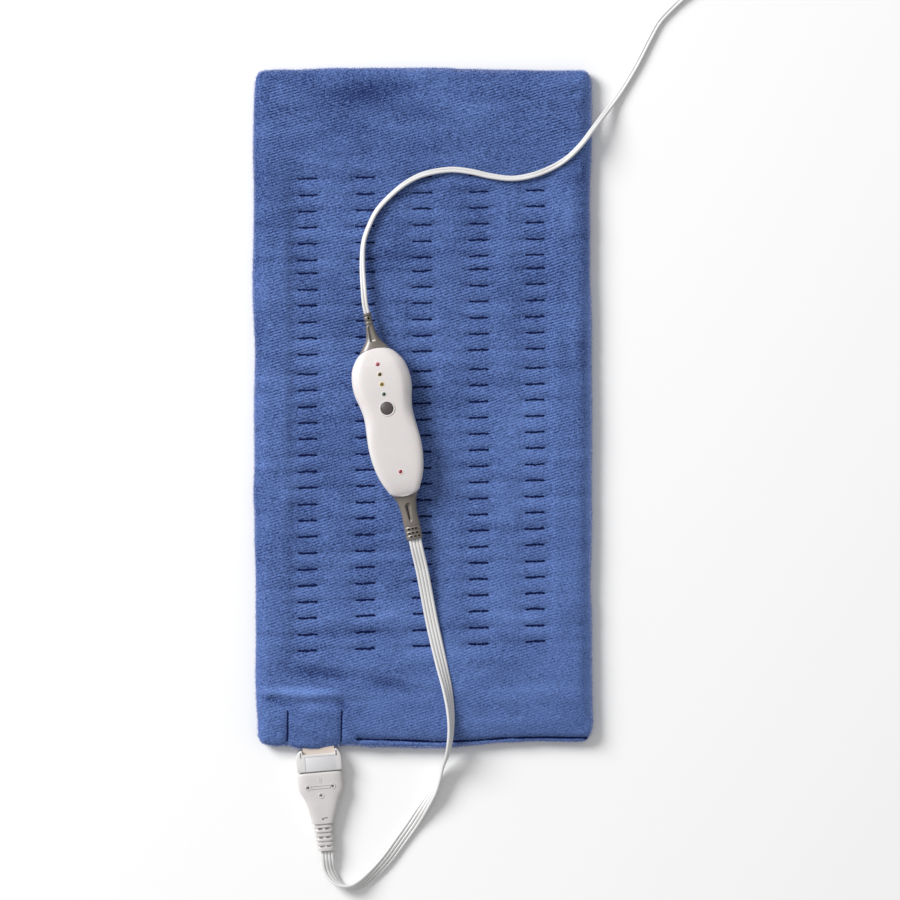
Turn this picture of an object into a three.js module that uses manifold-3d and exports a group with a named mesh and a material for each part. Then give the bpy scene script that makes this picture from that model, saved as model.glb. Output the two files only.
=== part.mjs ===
// Heating pad: a sewn plush pad, a lead that pulls off the pad, a hand controller in the lead and a mains cord.
// Millimetres, +Z up. The pad lies flat with its long side along Y. The origin is the middle of its underside.

import * as THREE from 'three';
import { mergeVertices } from 'three/addons/utils/BufferGeometryUtils.js';
import Module from 'manifold-3d';

const wasm = await Module();
wasm.setup();

// Clearances
const fitGap = 0.3; // between pieces that touch or slide
const cutOverrun = 2; // how far a cutting tool runs past a face

// Pad
const padWidth = 305;
const padLength = 610;
const padThickness = 14;
const padCornerRadius = 9.5;
const seamHeight = 6; // the two cover panels meet here at the edge
const edgeRollWidth = 6.5; // from the seam in to the shoulder of the rolled edge
const edgeShoulderHeight = 12.3;
const underRollWidth = 9.5; // the same roll below, in to the flat underside
const hemLipWidth = 3.5;
const hemLipHeight = 11.2;
const hemSeamInset = 7; // the hem is sewn down this far from the lower edge
const hemSeamHeight = 9.2;
const hemRise = 5.5; // the lower edge is sewn higher at its right
const hemRiseStart = 40; // across the pad, where that rise begins and ends
const hemRiseEnd = 105;

// Sewn dashes that hold the heating wire
const dashColumns = 5;
const dashRows = 30;
const dashColumnPitch = 51.2;
const dashRowPitch = 14.6;
const dashLength = 18.5;
const dashDepth = 1.6;
const dashSlopeShare = 0.03; // the rows climb a little to the right
const dashMiddleY = -2.8;

// Layers inside the pad
const coreInset = 14; // from the pad's edge to the pocket for the layers
const lowerClothThickness = 3.8;
const carrierThickness = 0.8;
const wireDiameter = 1.8;
const battingThickness = 2;
const wireMargin = 27; // from the pad's edge to the turns of the wire
const wireReturnMargin = 18.5; // and to the wire that runs back to the terminal
const wireTurnRadius = 5;
const wireLeadSpacing = 8;

// Connector frame
const terminalFromSide = 60; // from the pad's left side
const connectorReach = 22.6; // from the pad's lower edge to the joint of the two housings
const connectorTilt = 5; // degrees
const connectorAxisHeight = 7;

// Terminal block, cream, partly inside the pad
const tongueHalfWidth = 14.2;
const tongueThickness = 7;
const tongueTipInset = 2.3; // short of the joint of the housings
const flangeHalfWidth = 21;
const flangeStart = 27; // behind that joint
const flangeLength = 22;
const tongueTipBevel = 1.2;

// Sewn pocket round the terminal block
const pocketHalfWidth = 25;
const pocketLength = 40;
const pocketCloth = 2;
const pocketSideBevel = 4;
const pocketShoulderShare = 0.6; // where that bevel starts, from the seam to the outer face

// Contacts
const contactCount = 4;
const contactPitch = 6;
const contactBoreRadius = 1.85;
const contactBoreDepth = 12.7;
const sleeveOuterRadius = 1.55;
const sleeveInnerRadius = 1.1;
const sleeveInset = 0.5;
const sleeveLength = 11.6;
const pinRadius = 0.8;
const pinReach = 11.5; // past the joint towards the pad
const pinTail = 5; // past it the other way

// Front housing of the connector
const housingHalfHeight = 6.5;
const frontHousingLength = 15.9;
const earLength = 3.8;
const earTipHalfWidth = 16.4;
const frontHousingHalfWidth = 20.1;
const frontHousingWideStart = 6.3; // from the ear tips to the full width
const frontHousingBackHalfWidth = 19.2;
const frontHousingBevel = 1.3;
const endWallThickness = 1.4;
const thumbPanelHalfWidth = 13.2;
const thumbPanelLength = 11;
const thumbPanelDepth = 0.6;
const thumbPanelInset = 1.6;
const earSlotLength = 3.2;
const earSlotWidth = 0.8;

// Rear housing of the connector
const grooveWidth = 1;
const grooveDepth = 1.2;
const rearHousingHalfWidth = 19.9;
const rearHousingLength = 46.4;
const rearShoulderRadius = 1; // rounded front edge
const pitRadius = 0.9;
const pitDepth = 0.7;
const pitSpread = 11;
const pitDistance = 14.3;
const middlePitDistance = 21.5;
const moulded = { lineLength: 16, lineWidth: 0.5, lineHeight: 0.35, linePitch: 2.6, lineStart: 11.6 };

// Ribbed bend relief of the connector
const reliefHalfWidth = 8.1;
const reliefTipHalfWidth = 6.3;
const reliefHalfHeight = 5.2;
const reliefTipHalfHeight = 3.6;
const reliefLength = 24;
const reliefRibs = 6;
const reliefSlotDepth = 1.1; // every other gap between the ribs is two slots beside a web
const reliefGrooveDepth = 0.6; // the gaps between them are grooves all the way round
const reliefWebHalfWidth = 1.3;

// Flat lead and mains cord
const leadWidth = 11.6;
const leadThickness = 2.8;
const leadSteps = 52;
const cordWidth = 5.6;
const cordThickness = 2.9;
const cordSteps = 52;
const cordExitRun = 8; // straight out of a relief before the cord bends

// Controller frame
const controllerNoseX = -43.6;
const controllerNoseY = 53.3;
const controllerTilt = 12; // degrees

// Controller shells
const shellLength = 135.3;
const lobeHalfWidth = 26.6;
const splitHeight = 9; // underside to the parting line
const shellRise = 12.5; // parting line to the top
const undersideFlat = 0.5; // cut off the rounded belly
const shellWall = 2.2;
const shellCornerPower = 2.6; // 2 would be an ellipse
const shellSides = 20;
const hollowSides = 12;
const hollowEndShare = 0.15; // the hollow keeps all stations this near to each end
const buttonFromNose = 55;
const buttonRadius = 5.85;
const buttonCrown = 0.9;
const buttonTravel = 0.8;
const buttonFlangeRadius = 7;
const buttonFlangeThickness = 1.3;
const buttonStemRadius = 1.7;
const lampFromNose = 14.7;
const lampPitch = 9.1;
const lampRowCount = 4;
const heatLampFromTail = 22.3;
const lampRadius = 1.45;
const lampCrown = 0.6;
const lampBaseRadius = 1.9;
const lampBaseThickness = 1;
const lampBodyHeight = 5.3;
const lampLegWidth = 0.6;
const lampLegSpacing = 2.54;
const postRadius = 3.8;
const postSpread = 12;
const postFromNose = 24;
const postFromTail = 44;
const upperPostRadius = 2.2;
const screwPocketRadius = 2.6;
const screwPocketDepth = 2.5;

// Controller board
const boardThickness = 1.6;
const boardBottom = 5.2;
const boardInset = 6;
const boardFromNose = 10.5;
const boardFromTail = 15;
const switchSize = 6;
const switchHeight = 3.3;
const switchPlungerRadius = 1.6;
const fuseRadius = 2.6;
const fuseLength = 20;
const fuseCapLength = 5;
const capacitorSize = [6, 13, 8.4];
const capacitorPlace = [-13, 38];
const fusePlace = [13, 46];
const mainsHeaderSize = [9, 7, 5.5];
const mainsHeaderPlace = [-9.5, 15.5];
const leadHeaderSize = [12, 5.5, 4.5];
const leadHeaderFromTail = 31.8;
const chipSize = [6.5, 10, 1.7];
const chipPlace = [-8, 70];
const triacBodySize = [10, 4.5, 7.4];
const triacPlace = [9, 70];
const spreaderSize = [13, 1.5, 8];
const smallPieceBevel = 0.6;

// Boots of the controller
const upperBootLength = 32.4; // tip to the nose of the shells
const lowerBootLength = 39.6;
const bootOverlap = 5; // runs under the rounded end of the shells
const neckHalfHeight = 3;
const upperNeckHalfWidth = 6;
const lowerNeckHalfWidth = 7.5;
const neckFlangeWidth = 2.5;
const neckFlangeHeight = 1.2;
const neckFlangeThickness = 1.8;
const neckFlangeInset = 5.6; // behind the inner face of the end wall
const upperBootHalfWidth = 15.2;
const lowerBootHalfWidth = 13.4;
const upperBootHalfHeight = 6.5;
const lowerBootHalfHeight = 6.3;
const bootRingDepth = 0.8;
const bootSlotDepth = 1.6;
const upperSlotLength = 13;
const upperSlotWidth = 3.6;
const upperSlotFromTip = 15.5;
const lowerSlotLength = 17;
const lowerSlotWidth = 3.4;
const lowerSlotFromTip = 16.5;

// Coil of the cord that is put away
const coilMiddle = [290, 433];
const coilOuterRadius = 40;
const coilTurnPitch = 4.6;
const coilLayerPitch = 6.5;
const coilTurns = 8.25;
const coilStepsPerTurn = 24;
const coilFloorGap = 0.2;

// Plug
const plugHalfWidth = 12.5; // stands upright, with its blades one above the other
const plugHalfThickness = 9.2;
const plugBodyLength = 30;
const plugReliefLength = 13;
const plugReliefHalfWidth = 4.6;
const plugReliefHalfThickness = 3.4;
const plugReliefRibs = 3;
const plugReliefRibDepth = 0.8;
const bladeSpacing = 12.7;
const bladeThickness = 1.5;
const bladeLength = 17;
const bladeRoot = 6; // held inside the body
const wideBladeWidth = 7.9;
const narrowBladeWidth = 6.3;
const bladeTipBevel = 1.4;
const bladeHoleRadius = 1.5;
const bladeHoleFromTip = 5.5;

// Worked out once from the sizes above
const halfWidth = padWidth / 2;
const halfLength = padLength / 2;
const carrierBottom = lowerClothThickness + fitGap;
const wireHeight = carrierBottom + carrierThickness + fitGap + wireDiameter / 2;
const battingBottom = wireHeight + wireDiameter / 2 + fitGap;
const coreTop = battingBottom + battingThickness + fitGap;
const boardTop = boardBottom + boardThickness;
const tongueBottom = connectorAxisHeight - tongueThickness / 2;
const housingMouth = frontHousingLength + grooveWidth / 2; // front edge of the housing, from the joint
const degree = Math.PI / 180;

// Geometry helpers

function signedVolume(points, faces) {
  let sum = 0;
  const cross = new THREE.Vector3();
  for (const [a, b, c] of faces) {
    cross.crossVectors(points[b], points[c]);
    sum += points[a].dot(cross);
  }
  return sum;
}

function solidFrom(points, faces) {
  const outward = signedVolume(points, faces) > 0;
  const index = faces.flatMap(([a, b, c]) => (outward ? [a, b, c] : [a, c, b]));
  const geometry = new THREE.BufferGeometry();
  const flat = points.flatMap((point) => point.toArray());
  geometry.setAttribute('position', new THREE.Float32BufferAttribute(flat, 3));
  geometry.setIndex(index);
  return geometry;
}

// A closed skin over rings of points, each ring with as many points as the last.
function loft(rings) {
  const count = rings[0].length;
  const points = rings.flat();
  const faces = [];
  for (let ring = 0; ring + 1 < rings.length; ring += 1) {
    for (let step = 0; step < count; step += 1) {
      const a = ring * count + step;
      const b = ring * count + ((step + 1) % count);
      faces.push([a, b, b + count], [a, b + count, a + count]);
    }
  }
  const last = (rings.length - 1) * count;
  for (let step = 1; step + 1 < count; step += 1) {
    faces.push([0, step + 1, step], [last, last + step, last + step + 1]);
  }
  return solidFrom(points, faces);
}

function toSolid(geometry) {
  const bare = geometry.clone();
  bare.deleteAttribute('normal');
  bare.deleteAttribute('uv');
  const merged = mergeVertices(bare, 1e-4);
  const mesh = new wasm.Mesh({
    numProp: 3,
    vertProperties: new Float32Array(merged.attributes.position.array),
    triVerts: new Uint32Array(merged.index.array),
  });
  return new wasm.Manifold(mesh);
}

function toGeometry(solid) {
  const mesh = solid.getMesh();
  const geometry = new THREE.BufferGeometry();
  geometry.setAttribute('position', new THREE.BufferAttribute(new Float32Array(mesh.vertProperties), 3));
  geometry.setIndex(new THREE.BufferAttribute(new Uint32Array(mesh.triVerts), 1));
  return geometry;
}

function cut(geometry, ...tools) {
  return toGeometry(tools.reduce((solid, tool) => solid.subtract(toSolid(tool)), toSolid(geometry)));
}

function join(geometry, ...others) {
  return toGeometry(others.reduce((solid, other) => solid.add(toSolid(other)), toSolid(geometry)));
}

function common(geometry, other) {
  return toGeometry(toSolid(geometry).intersect(toSolid(other)));
}

// A box between two corners.
function boxBetween([x0, y0, z0], [x1, y1, z1]) {
  const box = new THREE.BoxGeometry(x1 - x0, y1 - y0, z1 - z0);
  return box.translate((x0 + x1) / 2, (y0 + y1) / 2, (z0 + z1) / 2);
}

// A plate with a plan outline, from one height to another.
function plate(outline, bottom, top, bevel = 0) {
  const shape = new THREE.Shape(outline.map(([x, y]) => new THREE.Vector2(x, y)));
  const geometry = new THREE.ExtrudeGeometry(shape, {
    depth: top - bottom - 2 * bevel,
    bevelEnabled: bevel > 0,
    bevelThickness: bevel,
    bevelSize: bevel,
    bevelOffset: -bevel,
    bevelSegments: 2,
    curveSegments: 6,
  });
  return geometry.translate(0, 0, bottom + bevel);
}

// A box whose upright edges are bevelled, standing on a height.
function bevelledBlock([width, length, height], [x, y], bottom, bevel = smallPieceBevel) {
  const a = width / 2;
  const b = length / 2;
  const outline = [
    [x - a + bevel, y - b], [x + a - bevel, y - b], [x + a, y - b + bevel], [x + a, y + b - bevel],
    [x + a - bevel, y + b], [x - a + bevel, y + b], [x - a, y + b - bevel], [x - a, y - b + bevel],
  ];
  return plate(outline, bottom, bottom + height);
}

// A turned piece on the Z axis. The profile is pairs of radius and height.
function turned(profile, sides) {
  const points = profile.map(([radius, height]) => new THREE.Vector2(radius, height));
  const lathe = new THREE.LatheGeometry(points, sides);
  return lathe.rotateX(Math.PI / 2);
}

function roundBar(radius, bottom, top, sides) {
  return turned([[0, bottom], [radius, bottom], [radius, top], [0, top]], sides);
}

// A closed section round the Y axis, between an ellipse and a rounded box.
function roundedRing(sides, y, halfAcross, up, down, middleHeight, power) {
  const ring = [];
  for (let step = 0; step < sides; step += 1) {
    const angle = (step / sides) * 2 * Math.PI;
    const across = Math.sign(Math.cos(angle)) * Math.abs(Math.cos(angle)) ** (2 / power);
    const rise = Math.sign(Math.sin(angle)) * Math.abs(Math.sin(angle)) ** (2 / power);
    const height = rise > 0 ? up : down;
    ring.push(new THREE.Vector3(across * halfAcross, y, middleHeight + rise * height));
  }
  return ring;
}

// A path for a sweep that keeps a flat cord level, or turned about its own line by a roll in degrees.
class StationPath extends THREE.Curve {
  constructor(points, rolls) {
    super();
    this.points = points;
    this.rolls = rolls;
  }

  getSpacedPoints() {
    return this.points.map((point) => point.clone());
  }

  computeFrenetFrames() {
    const frames = { tangents: [], normals: [], binormals: [] };
    const up = new THREE.Vector3(0, 0, 1);
    this.points.forEach((point, place) => {
      const before = this.points[Math.max(place - 1, 0)];
      const after = this.points[Math.min(place + 1, this.points.length - 1)];
      const tangent = after.clone().sub(before).normalize();
      const side = tangent.clone().cross(up).normalize();
      side.applyAxisAngle(tangent, this.rolls[place] * degree);
      frames.tangents.push(tangent);
      frames.normals.push(side);
      frames.binormals.push(tangent.clone().cross(side));
    });
    return frames;
  }
}

function sweep(section, path) {
  const shape = new THREE.Shape(section.map(([x, y]) => new THREE.Vector2(x, y)));
  return new THREE.ExtrudeGeometry(shape, { steps: path.points.length - 1, extrudePath: path });
}

// Even steps along a smooth line through stations of x, y, z and roll.
function smoothPath(stations, steps) {
  const line = new THREE.CatmullRomCurve3(
    stations.map(([x, y, z]) => new THREE.Vector3(x, y, z)), false, 'centripetal',
  );
  line.arcLengthDivisions = steps * 10;
  const rolls = [];
  for (let step = 0; step <= steps; step += 1) {
    const place = line.getUtoTmapping(step / steps) * (stations.length - 1);
    const from = Math.min(Math.floor(place), stations.length - 2);
    rolls.push(THREE.MathUtils.lerp(stations[from][3], stations[from + 1][3], place - from));
  }
  return { path: new StationPath(line.getSpacedPoints(steps), rolls), length: line.getLength() };
}

// Frames: the connector and the controller are modelled straight and then placed.
const connectorFrame = new THREE.Group();
connectorFrame.position.set(terminalFromSide - halfWidth, -halfLength - connectorReach, 0);
connectorFrame.rotation.z = connectorTilt * degree;
connectorFrame.updateMatrix();

const controllerFrame = new THREE.Group();
controllerFrame.position.set(controllerNoseX, controllerNoseY, padThickness + fitGap);
controllerFrame.rotation.z = controllerTilt * degree;
controllerFrame.updateMatrix();

function inConnectorFrame(geometry) {
  return geometry.applyMatrix4(connectorFrame.matrix);
}

// Pad: outline and hem

// The right part of the lower edge is sewn higher, and the rise fades out below the first dashes.
function withHemRise(x, y) {
  const across = THREE.MathUtils.smoothstep(x, hemRiseStart, hemRiseEnd);
  const lowestDash = dashMiddleY - ((dashRows - 1) / 2) * dashRowPitch;
  const down = THREE.MathUtils.clamp((lowestDash - y) / (lowestDash + halfLength), 0, 1);
  return y + hemRise * across * down;
}

// Pad outline drawn in by an inset, with one point on each corner's arc and three along the lower edge.
function padRing(inset, height) {
  const a = halfWidth - inset;
  const b = halfLength - inset;
  const radius = Math.max(padCornerRadius - inset / 2, padCornerRadius / 2);
  const onArc = radius * (1 - Math.SQRT1_2);
  const corner = [
    [a, b - radius], [a - onArc, b - onArc], [a - radius, b],
  ];
  const outline = [
    ...corner,
    ...corner.map(([x, y]) => [-x, y]).reverse(),
    ...corner.map(([x, y]) => [-x, -y]),
    [hemRiseStart, -b], [hemRiseEnd, -b],
    ...corner.map(([x, y]) => [x, -y]).reverse(),
  ];
  return outline.map(([x, y]) => new THREE.Vector3(x, withHemRise(x, y), height));
}

function coreOutline(grow) {
  const a = halfWidth - coreInset + grow;
  const top = halfLength - coreInset + grow;
  const bottom = -halfLength + coreInset + hemRise - grow;
  const radius = padCornerRadius;
  return [
    [a, bottom + radius], [a, top - radius], [a - radius, top], [radius - a, top],
    [-a, top - radius], [-a, bottom + radius], [radius - a, bottom], [a - radius, bottom],
  ];
}

// Plan of the terminal block, a tongue on a wider flange, grown all round.
function terminalOutline(grow) {
  const a = tongueHalfWidth + grow;
  const b = flangeHalfWidth + grow;
  const tip = tongueTipInset - grow;
  const front = flangeStart - grow;
  const back = flangeStart + flangeLength + grow;
  return [[-a, tip], [a, tip], [a, front], [b, front], [b, back], [-b, back], [-b, front], [-a, front]];
}

function terminalRoom() {
  const low = tongueBottom - fitGap;
  const high = tongueBottom + tongueThickness + fitGap;
  return inConnectorFrame(plate(terminalOutline(fitGap), low, high));
}

// Stations of the pocket's swell: share of its length, of its half width and of its height.
const pocketShares = [[0, 0.76, 0.82], [0.14, 0.93, 1], [0.5, 1, 1], [0.82, 0.92, 1], [1, 0.74, 0.7]];

// A bulge of cloth over or under the terminal block, from the seam to an outer face.
function pocketBulge(seamSide, faceSide) {
  const rings = pocketShares.map(([along, across, tall]) => {
    const y = connectorReach + fitGap + along * pocketLength;
    const a = across * pocketHalfWidth;
    const face = THREE.MathUtils.lerp(seamSide, faceSide, tall);
    const shoulder = THREE.MathUtils.lerp(seamSide, face, pocketShoulderShare);
    return [
      new THREE.Vector3(-a, y, seamSide), new THREE.Vector3(a, y, seamSide), new THREE.Vector3(a, y, shoulder),
      new THREE.Vector3(a - pocketSideBevel, y, face), new THREE.Vector3(pocketSideBevel - a, y, face),
      new THREE.Vector3(-a, y, shoulder),
    ];
  });
  return inConnectorFrame(loft(rings));
}

// Pad: upper cover panel, a grid of lines with the dashes and the hem sewn down

function upperPanelColumns() {
  const lines = [{ x: -halfWidth }, { x: edgeRollWidth - halfWidth }];
  for (let column = 0; column < dashColumns; column += 1) {
    const middle = (column - (dashColumns - 1) / 2) * dashColumnPitch;
    lines.push({ x: middle - dashLength / 2, sewn: true }, { x: middle + dashLength / 2, sewn: true });
    if (column + 1 < dashColumns) {
      lines.push({ x: middle + dashColumnPitch / 2 });
    }
  }
  lines.push({ x: halfWidth - edgeRollWidth }, { x: halfWidth });
  return lines;
}

function upperPanelRows() {
  const lines = [
    { y: -halfLength, height: seamHeight + fitGap / 2 },
    { y: hemLipWidth - halfLength, height: hemLipHeight },
    { y: hemSeamInset - halfLength, height: hemSeamHeight },
    { y: 2 * hemSeamInset - halfLength, height: padThickness },
  ];
  for (let row = 0; row < dashRows; row += 1) {
    const y = dashMiddleY + (row - (dashRows - 1) / 2) * dashRowPitch;
    lines.push({ y, height: padThickness, sewn: true, slope: dashSlopeShare });
    if (row + 1 < dashRows) {
      lines.push({ y: y + dashRowPitch / 2, height: padThickness, slope: dashSlopeShare });
    }
  }
  lines.push({ y: halfLength - edgeRollWidth, height: edgeShoulderHeight });
  lines.push({ y: halfLength, height: seamHeight + fitGap / 2 });
  return lines;
}

function upperPanel() {
  const columns = upperPanelColumns();
  const rows = upperPanelRows();
  const seam = seamHeight + fitGap / 2;
  const onArc = padCornerRadius * (1 - Math.SQRT1_2);
  const points = [];
  const lastColumn = columns.length - 1;
  const lastRow = rows.length - 1;
  rows.forEach((row, r) => {
    columns.forEach((column, c) => {
      const sideEdge = c === 0 || c === lastColumn;
      const endEdge = r === 0 || r === lastRow;
      const shoulder = c === 1 || c === lastColumn - 1;
      let { x } = column;
      let y = row.y + (row.slope ?? 0) * x;
      if (sideEdge && endEdge) {
        x -= Math.sign(x) * onArc;
        y -= Math.sign(y) * onArc;
      }
      let height = sideEdge || endEdge ? seam : row.height;
      if (shoulder) {
        height = Math.min(height, edgeShoulderHeight);
      }
      if (row.sewn && column.sewn) {
        height -= dashDepth;
      }
      points.push(new THREE.Vector3(x, withHemRise(x, y), height));
    });
  });
  const at = (r, c) => r * columns.length + c;
  const faces = [];
  for (let r = 0; r < lastRow; r += 1) {
    for (let c = 0; c < lastColumn; c += 1) {
      faces.push([at(r, c), at(r, c + 1), at(r + 1, c + 1)], [at(r, c), at(r + 1, c + 1), at(r + 1, c)]);
    }
  }
  const rim = [
    ...columns.map((column, c) => at(0, c)),
    ...rows.slice(1).map((row, r) => at(r + 1, lastColumn)),
    ...columns.slice(0, -1).map((column, c) => at(lastRow, lastColumn - 1 - c)),
    ...rows.slice(1, -1).map((row, r) => at(lastRow - 1 - r, 0)),
  ];
  const outline = rim.map((place) => new THREE.Vector2(points[place].x, points[place].y));
  for (const [a, b, c] of THREE.ShapeUtils.triangulateShape(outline, [])) {
    faces.push([rim[a], rim[c], rim[b]]);
  }
  const skin = solidFrom(points, faces);
  const bulge = pocketBulge(seam, tongueBottom + tongueThickness + fitGap + pocketCloth);
  const core = plate(coreOutline(fitGap), seam - cutOverrun, coreTop);
  return cut(join(skin, bulge), core, terminalRoom());
}

// Pad: lower cover panel with a flat underside

function lowerPanel() {
  const seam = seamHeight - fitGap / 2;
  const skin = loft([
    padRing(0, seam),
    padRing(underRollWidth / 4, seam / 2.6),
    padRing(underRollWidth / 2, seam / 7),
    padRing(underRollWidth, 0),
  ]);
  const bulge = pocketBulge(seam, tongueBottom - fitGap - pocketCloth);
  const core = plate(coreOutline(fitGap), lowerClothThickness, seam + cutOverrun);
  return cut(join(skin, bulge), core, terminalRoom());
}

// Pad: the layers between the covers

function corePlate(bottom, thickness) {
  return cut(plate(coreOutline(0), bottom, bottom + thickness), terminalRoom());
}

// One loop of wire: up the pad in rows between the dashes, then back down the left side to the terminal.
function heatingWire() {
  const turn = wireTurnRadius;
  const side = halfWidth - wireMargin;
  const points = [];
  const add = (x, y) => points.push(new THREE.Vector3(x, y, wireHeight));
  const back = flangeStart + flangeLength + fitGap;
  const atBlock = (x, y) => new THREE.Vector3(x, y, 0).applyMatrix4(connectorFrame.matrix);
  const place = atBlock(0, back);
  const out = [atBlock(wireLeadSpacing, back), atBlock(wireLeadSpacing, back + turn)];
  const home = [atBlock(-wireLeadSpacing, back + dashRowPitch - turn), atBlock(-wireLeadSpacing, back)];
  const lowest = dashMiddleY - (dashRows / 2) * dashRowPitch;
  out.forEach(({ x, y }) => add(x, y));
  for (let row = 0; row < dashRows; row += 1) {
    const y = lowest + row * dashRowPitch;
    const direction = row % 2 === 0 ? 1 : -1;
    const from = row === 0 ? place.x + wireLeadSpacing + turn : -direction * (side - turn);
    const to = direction * (side - turn);
    add(from, y + dashSlopeShare * from);
    if (row + 1 < dashRows) {
      add(to, y + dashSlopeShare * to);
      add(direction * side, y + dashSlopeShare * to + dashRowPitch / 2);
    }
  }
  const returnX = wireReturnMargin - halfWidth;
  const top = lowest + (dashRows - 1) * dashRowPitch;
  add(turn - side, top - dashSlopeShare * (side - turn));
  add(returnX + turn, top);
  add(returnX, top - turn);
  add(returnX, place.y + turn + dashRowPitch);
  add(returnX + turn, place.y + dashRowPitch);
  add(place.x - wireLeadSpacing - turn, place.y + dashRowPitch);
  home.forEach(({ x, y }) => add(x, y));
  const radius = wireDiameter / 2;
  const section = [0, 1, 2, 3, 4, 5].map((k) => [radius * Math.cos(k * 60 * degree), radius * Math.sin(k * 60 * degree)]);
  return sweep(section, new StationPath(points, points.map(() => 0)));
}

// Terminal block and contacts, in the connector frame: +Y runs towards the pad

function acrossContacts(make) {
  const list = [];
  for (let contact = 0; contact < contactCount; contact += 1) {
    list.push(make((contact - (contactCount - 1) / 2) * contactPitch));
  }
  return list;
}

// A round bar along Y at the height of the connector's axis.
function lengthwiseBar(profile, x, sides) {
  return turned(profile, sides).rotateX(-Math.PI / 2).translate(x, 0, connectorAxisHeight);
}

function terminalBlock() {
  const tip = tongueTipInset;
  const outline = terminalOutline(0);
  outline.splice(0, 2, [-tongueHalfWidth, tip + tongueTipBevel], [tongueTipBevel - tongueHalfWidth, tip],
    [tongueHalfWidth - tongueTipBevel, tip], [tongueHalfWidth, tip + tongueTipBevel]);
  const block = plate(outline, tongueBottom, tongueBottom + tongueThickness);
  const bores = acrossContacts((x) => lengthwiseBar([
    [0, tip - cutOverrun], [contactBoreRadius, tip - cutOverrun],
    [contactBoreRadius, tip + contactBoreDepth], [0, tip + contactBoreDepth],
  ], x, 10));
  return cut(block, ...bores);
}

function contactSleeve(x) {
  const start = tongueTipInset + sleeveInset;
  const end = start + sleeveLength;
  return lengthwiseBar([
    [sleeveInnerRadius, start], [sleeveOuterRadius, start],
    [sleeveOuterRadius, end], [sleeveInnerRadius, end], [sleeveInnerRadius, start],
  ], x, 10);
}

function contactPin(x) {
  const shoulder = pinRadius * 2;
  return lengthwiseBar([
    [0, -pinTail], [pinRadius, -pinTail], [pinRadius, pinReach - shoulder],
    [pinRadius / 2, pinReach], [0, pinReach],
  ], x, 8);
}

function pinBore(x, from, to) {
  const radius = pinRadius + fitGap;
  return lengthwiseBar([[0, from], [radius, from], [radius, to], [0, to]], x, 8);
}

// Connector: front housing, a sleeve with an ear at each side of its mouth

function frontHousing() {
  const mouth = housingMouth;
  const ear = mouth + earLength;
  const back = grooveWidth / 2;
  const inner = tongueHalfWidth + fitGap;
  const side = [
    [inner, mouth], [inner, ear], [earTipHalfWidth, ear],
    [(earTipHalfWidth + frontHousingHalfWidth) / 2 + fitGap, ear - frontHousingWideStart / 3],
    [frontHousingHalfWidth, ear - frontHousingWideStart], [frontHousingHalfWidth, (back + mouth) / 2],
    [frontHousingBackHalfWidth, back],
  ];
  const outline = [...side, ...side.map(([x, y]) => [-x, y]).reverse()];
  const low = connectorAxisHeight - housingHalfHeight;
  const high = connectorAxisHeight + housingHalfHeight;
  const block = plate(outline, low, high, frontHousingBevel);
  const socket = boxBetween(
    [-inner, back + endWallThickness, tongueBottom - fitGap],
    [inner, ear + cutOverrun, tongueBottom + tongueThickness + fitGap],
  );
  const panelFront = mouth - thumbPanelInset;
  const panels = [1, -1].map((face) => {
    const surface = connectorAxisHeight + face * housingHalfHeight;
    const depth = surface - face * thumbPanelDepth;
    const beyond = surface + face * cutOverrun;
    return boxBetween(
      [-thumbPanelHalfWidth, panelFront - thumbPanelLength, Math.min(depth, beyond)],
      [thumbPanelHalfWidth, panelFront, Math.max(depth, beyond)],
    );
  });
  const slots = [1, -1].map((hand) => {
    const x = hand * (inner + earSlotWidth);
    return boxBetween(
      [x - earSlotWidth / 2, mouth - earSlotLength, high - thumbPanelDepth * 2],
      [x + earSlotWidth / 2, mouth + earSlotWidth, high + cutOverrun],
    );
  });
  const bores = acrossContacts((x) => pinBore(x, back - cutOverrun, back + endWallThickness + cutOverrun));
  return cut(block, socket, ...panels, ...slots, ...bores);
}

// Connector: rear housing, shoulders that narrow to the bend relief

const rearOutlineShares = [
  // distance, half width, half height
  [0.01, 0.97, 0.95], [0.03, 1, 1], [0.17, 1, 1], [0.28, 0.985, 1], [0.36, 0.94, 0.99], [0.44, 0.84, 0.97],
  [0.52, 0.73, 0.94], [0.62, 0.635, 0.91], [0.74, 0.54, 0.87], [0.87, 0.465, 0.83], [1, 0.41, 0.8],
];

function rearHousing() {
  const start = -fitGap + grooveWidth / 2;
  const front = -grooveWidth / 2;
  const power = 5;
  const sides = 16;
  const ringAt = (y, a, b) => roundedRing(sides, y, a, b, b, connectorAxisHeight, power);
  const neck = frontHousingBackHalfWidth - grooveDepth;
  const neckHeight = housingHalfHeight - grooveDepth;
  const rings = [ringAt(start, neck, neckHeight), ringAt(front, neck, neckHeight)];
  for (const [along, across, tall] of rearOutlineShares) {
    const y = front - along * rearHousingLength;
    rings.push(ringAt(y, across * rearHousingHalfWidth, tall * housingHalfHeight));
  }
  const body = loft(rings);
  const top = connectorAxisHeight + housingHalfHeight;
  const pitAt = (x, y) => roundBar(pitRadius, top - pitDepth, top + cutOverrun, 8).translate(x, y, 0);
  const pits = [
    pitAt(-pitSpread, -pitDistance), pitAt(pitSpread, -pitDistance), pitAt(0, -middlePitDistance),
  ];
  const bores = acrossContacts((x) => pinBore(x, -pinTail - fitGap, start + cutOverrun));
  const { lineLength, lineWidth, lineHeight, linePitch, lineStart } = moulded;
  const lines = [0, 1].map((line) => {
    const y = -lineStart - line * linePitch;
    return boxBetween([-lineLength / 2, y - lineWidth, top - lineHeight], [lineLength / 2, y, top + lineHeight]);
  });
  return cut(join(body, ...lines), ...pits, ...bores);
}

// Connector: bend relief with ribs round it. Slots and grooves take turns between the ribs.

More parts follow.
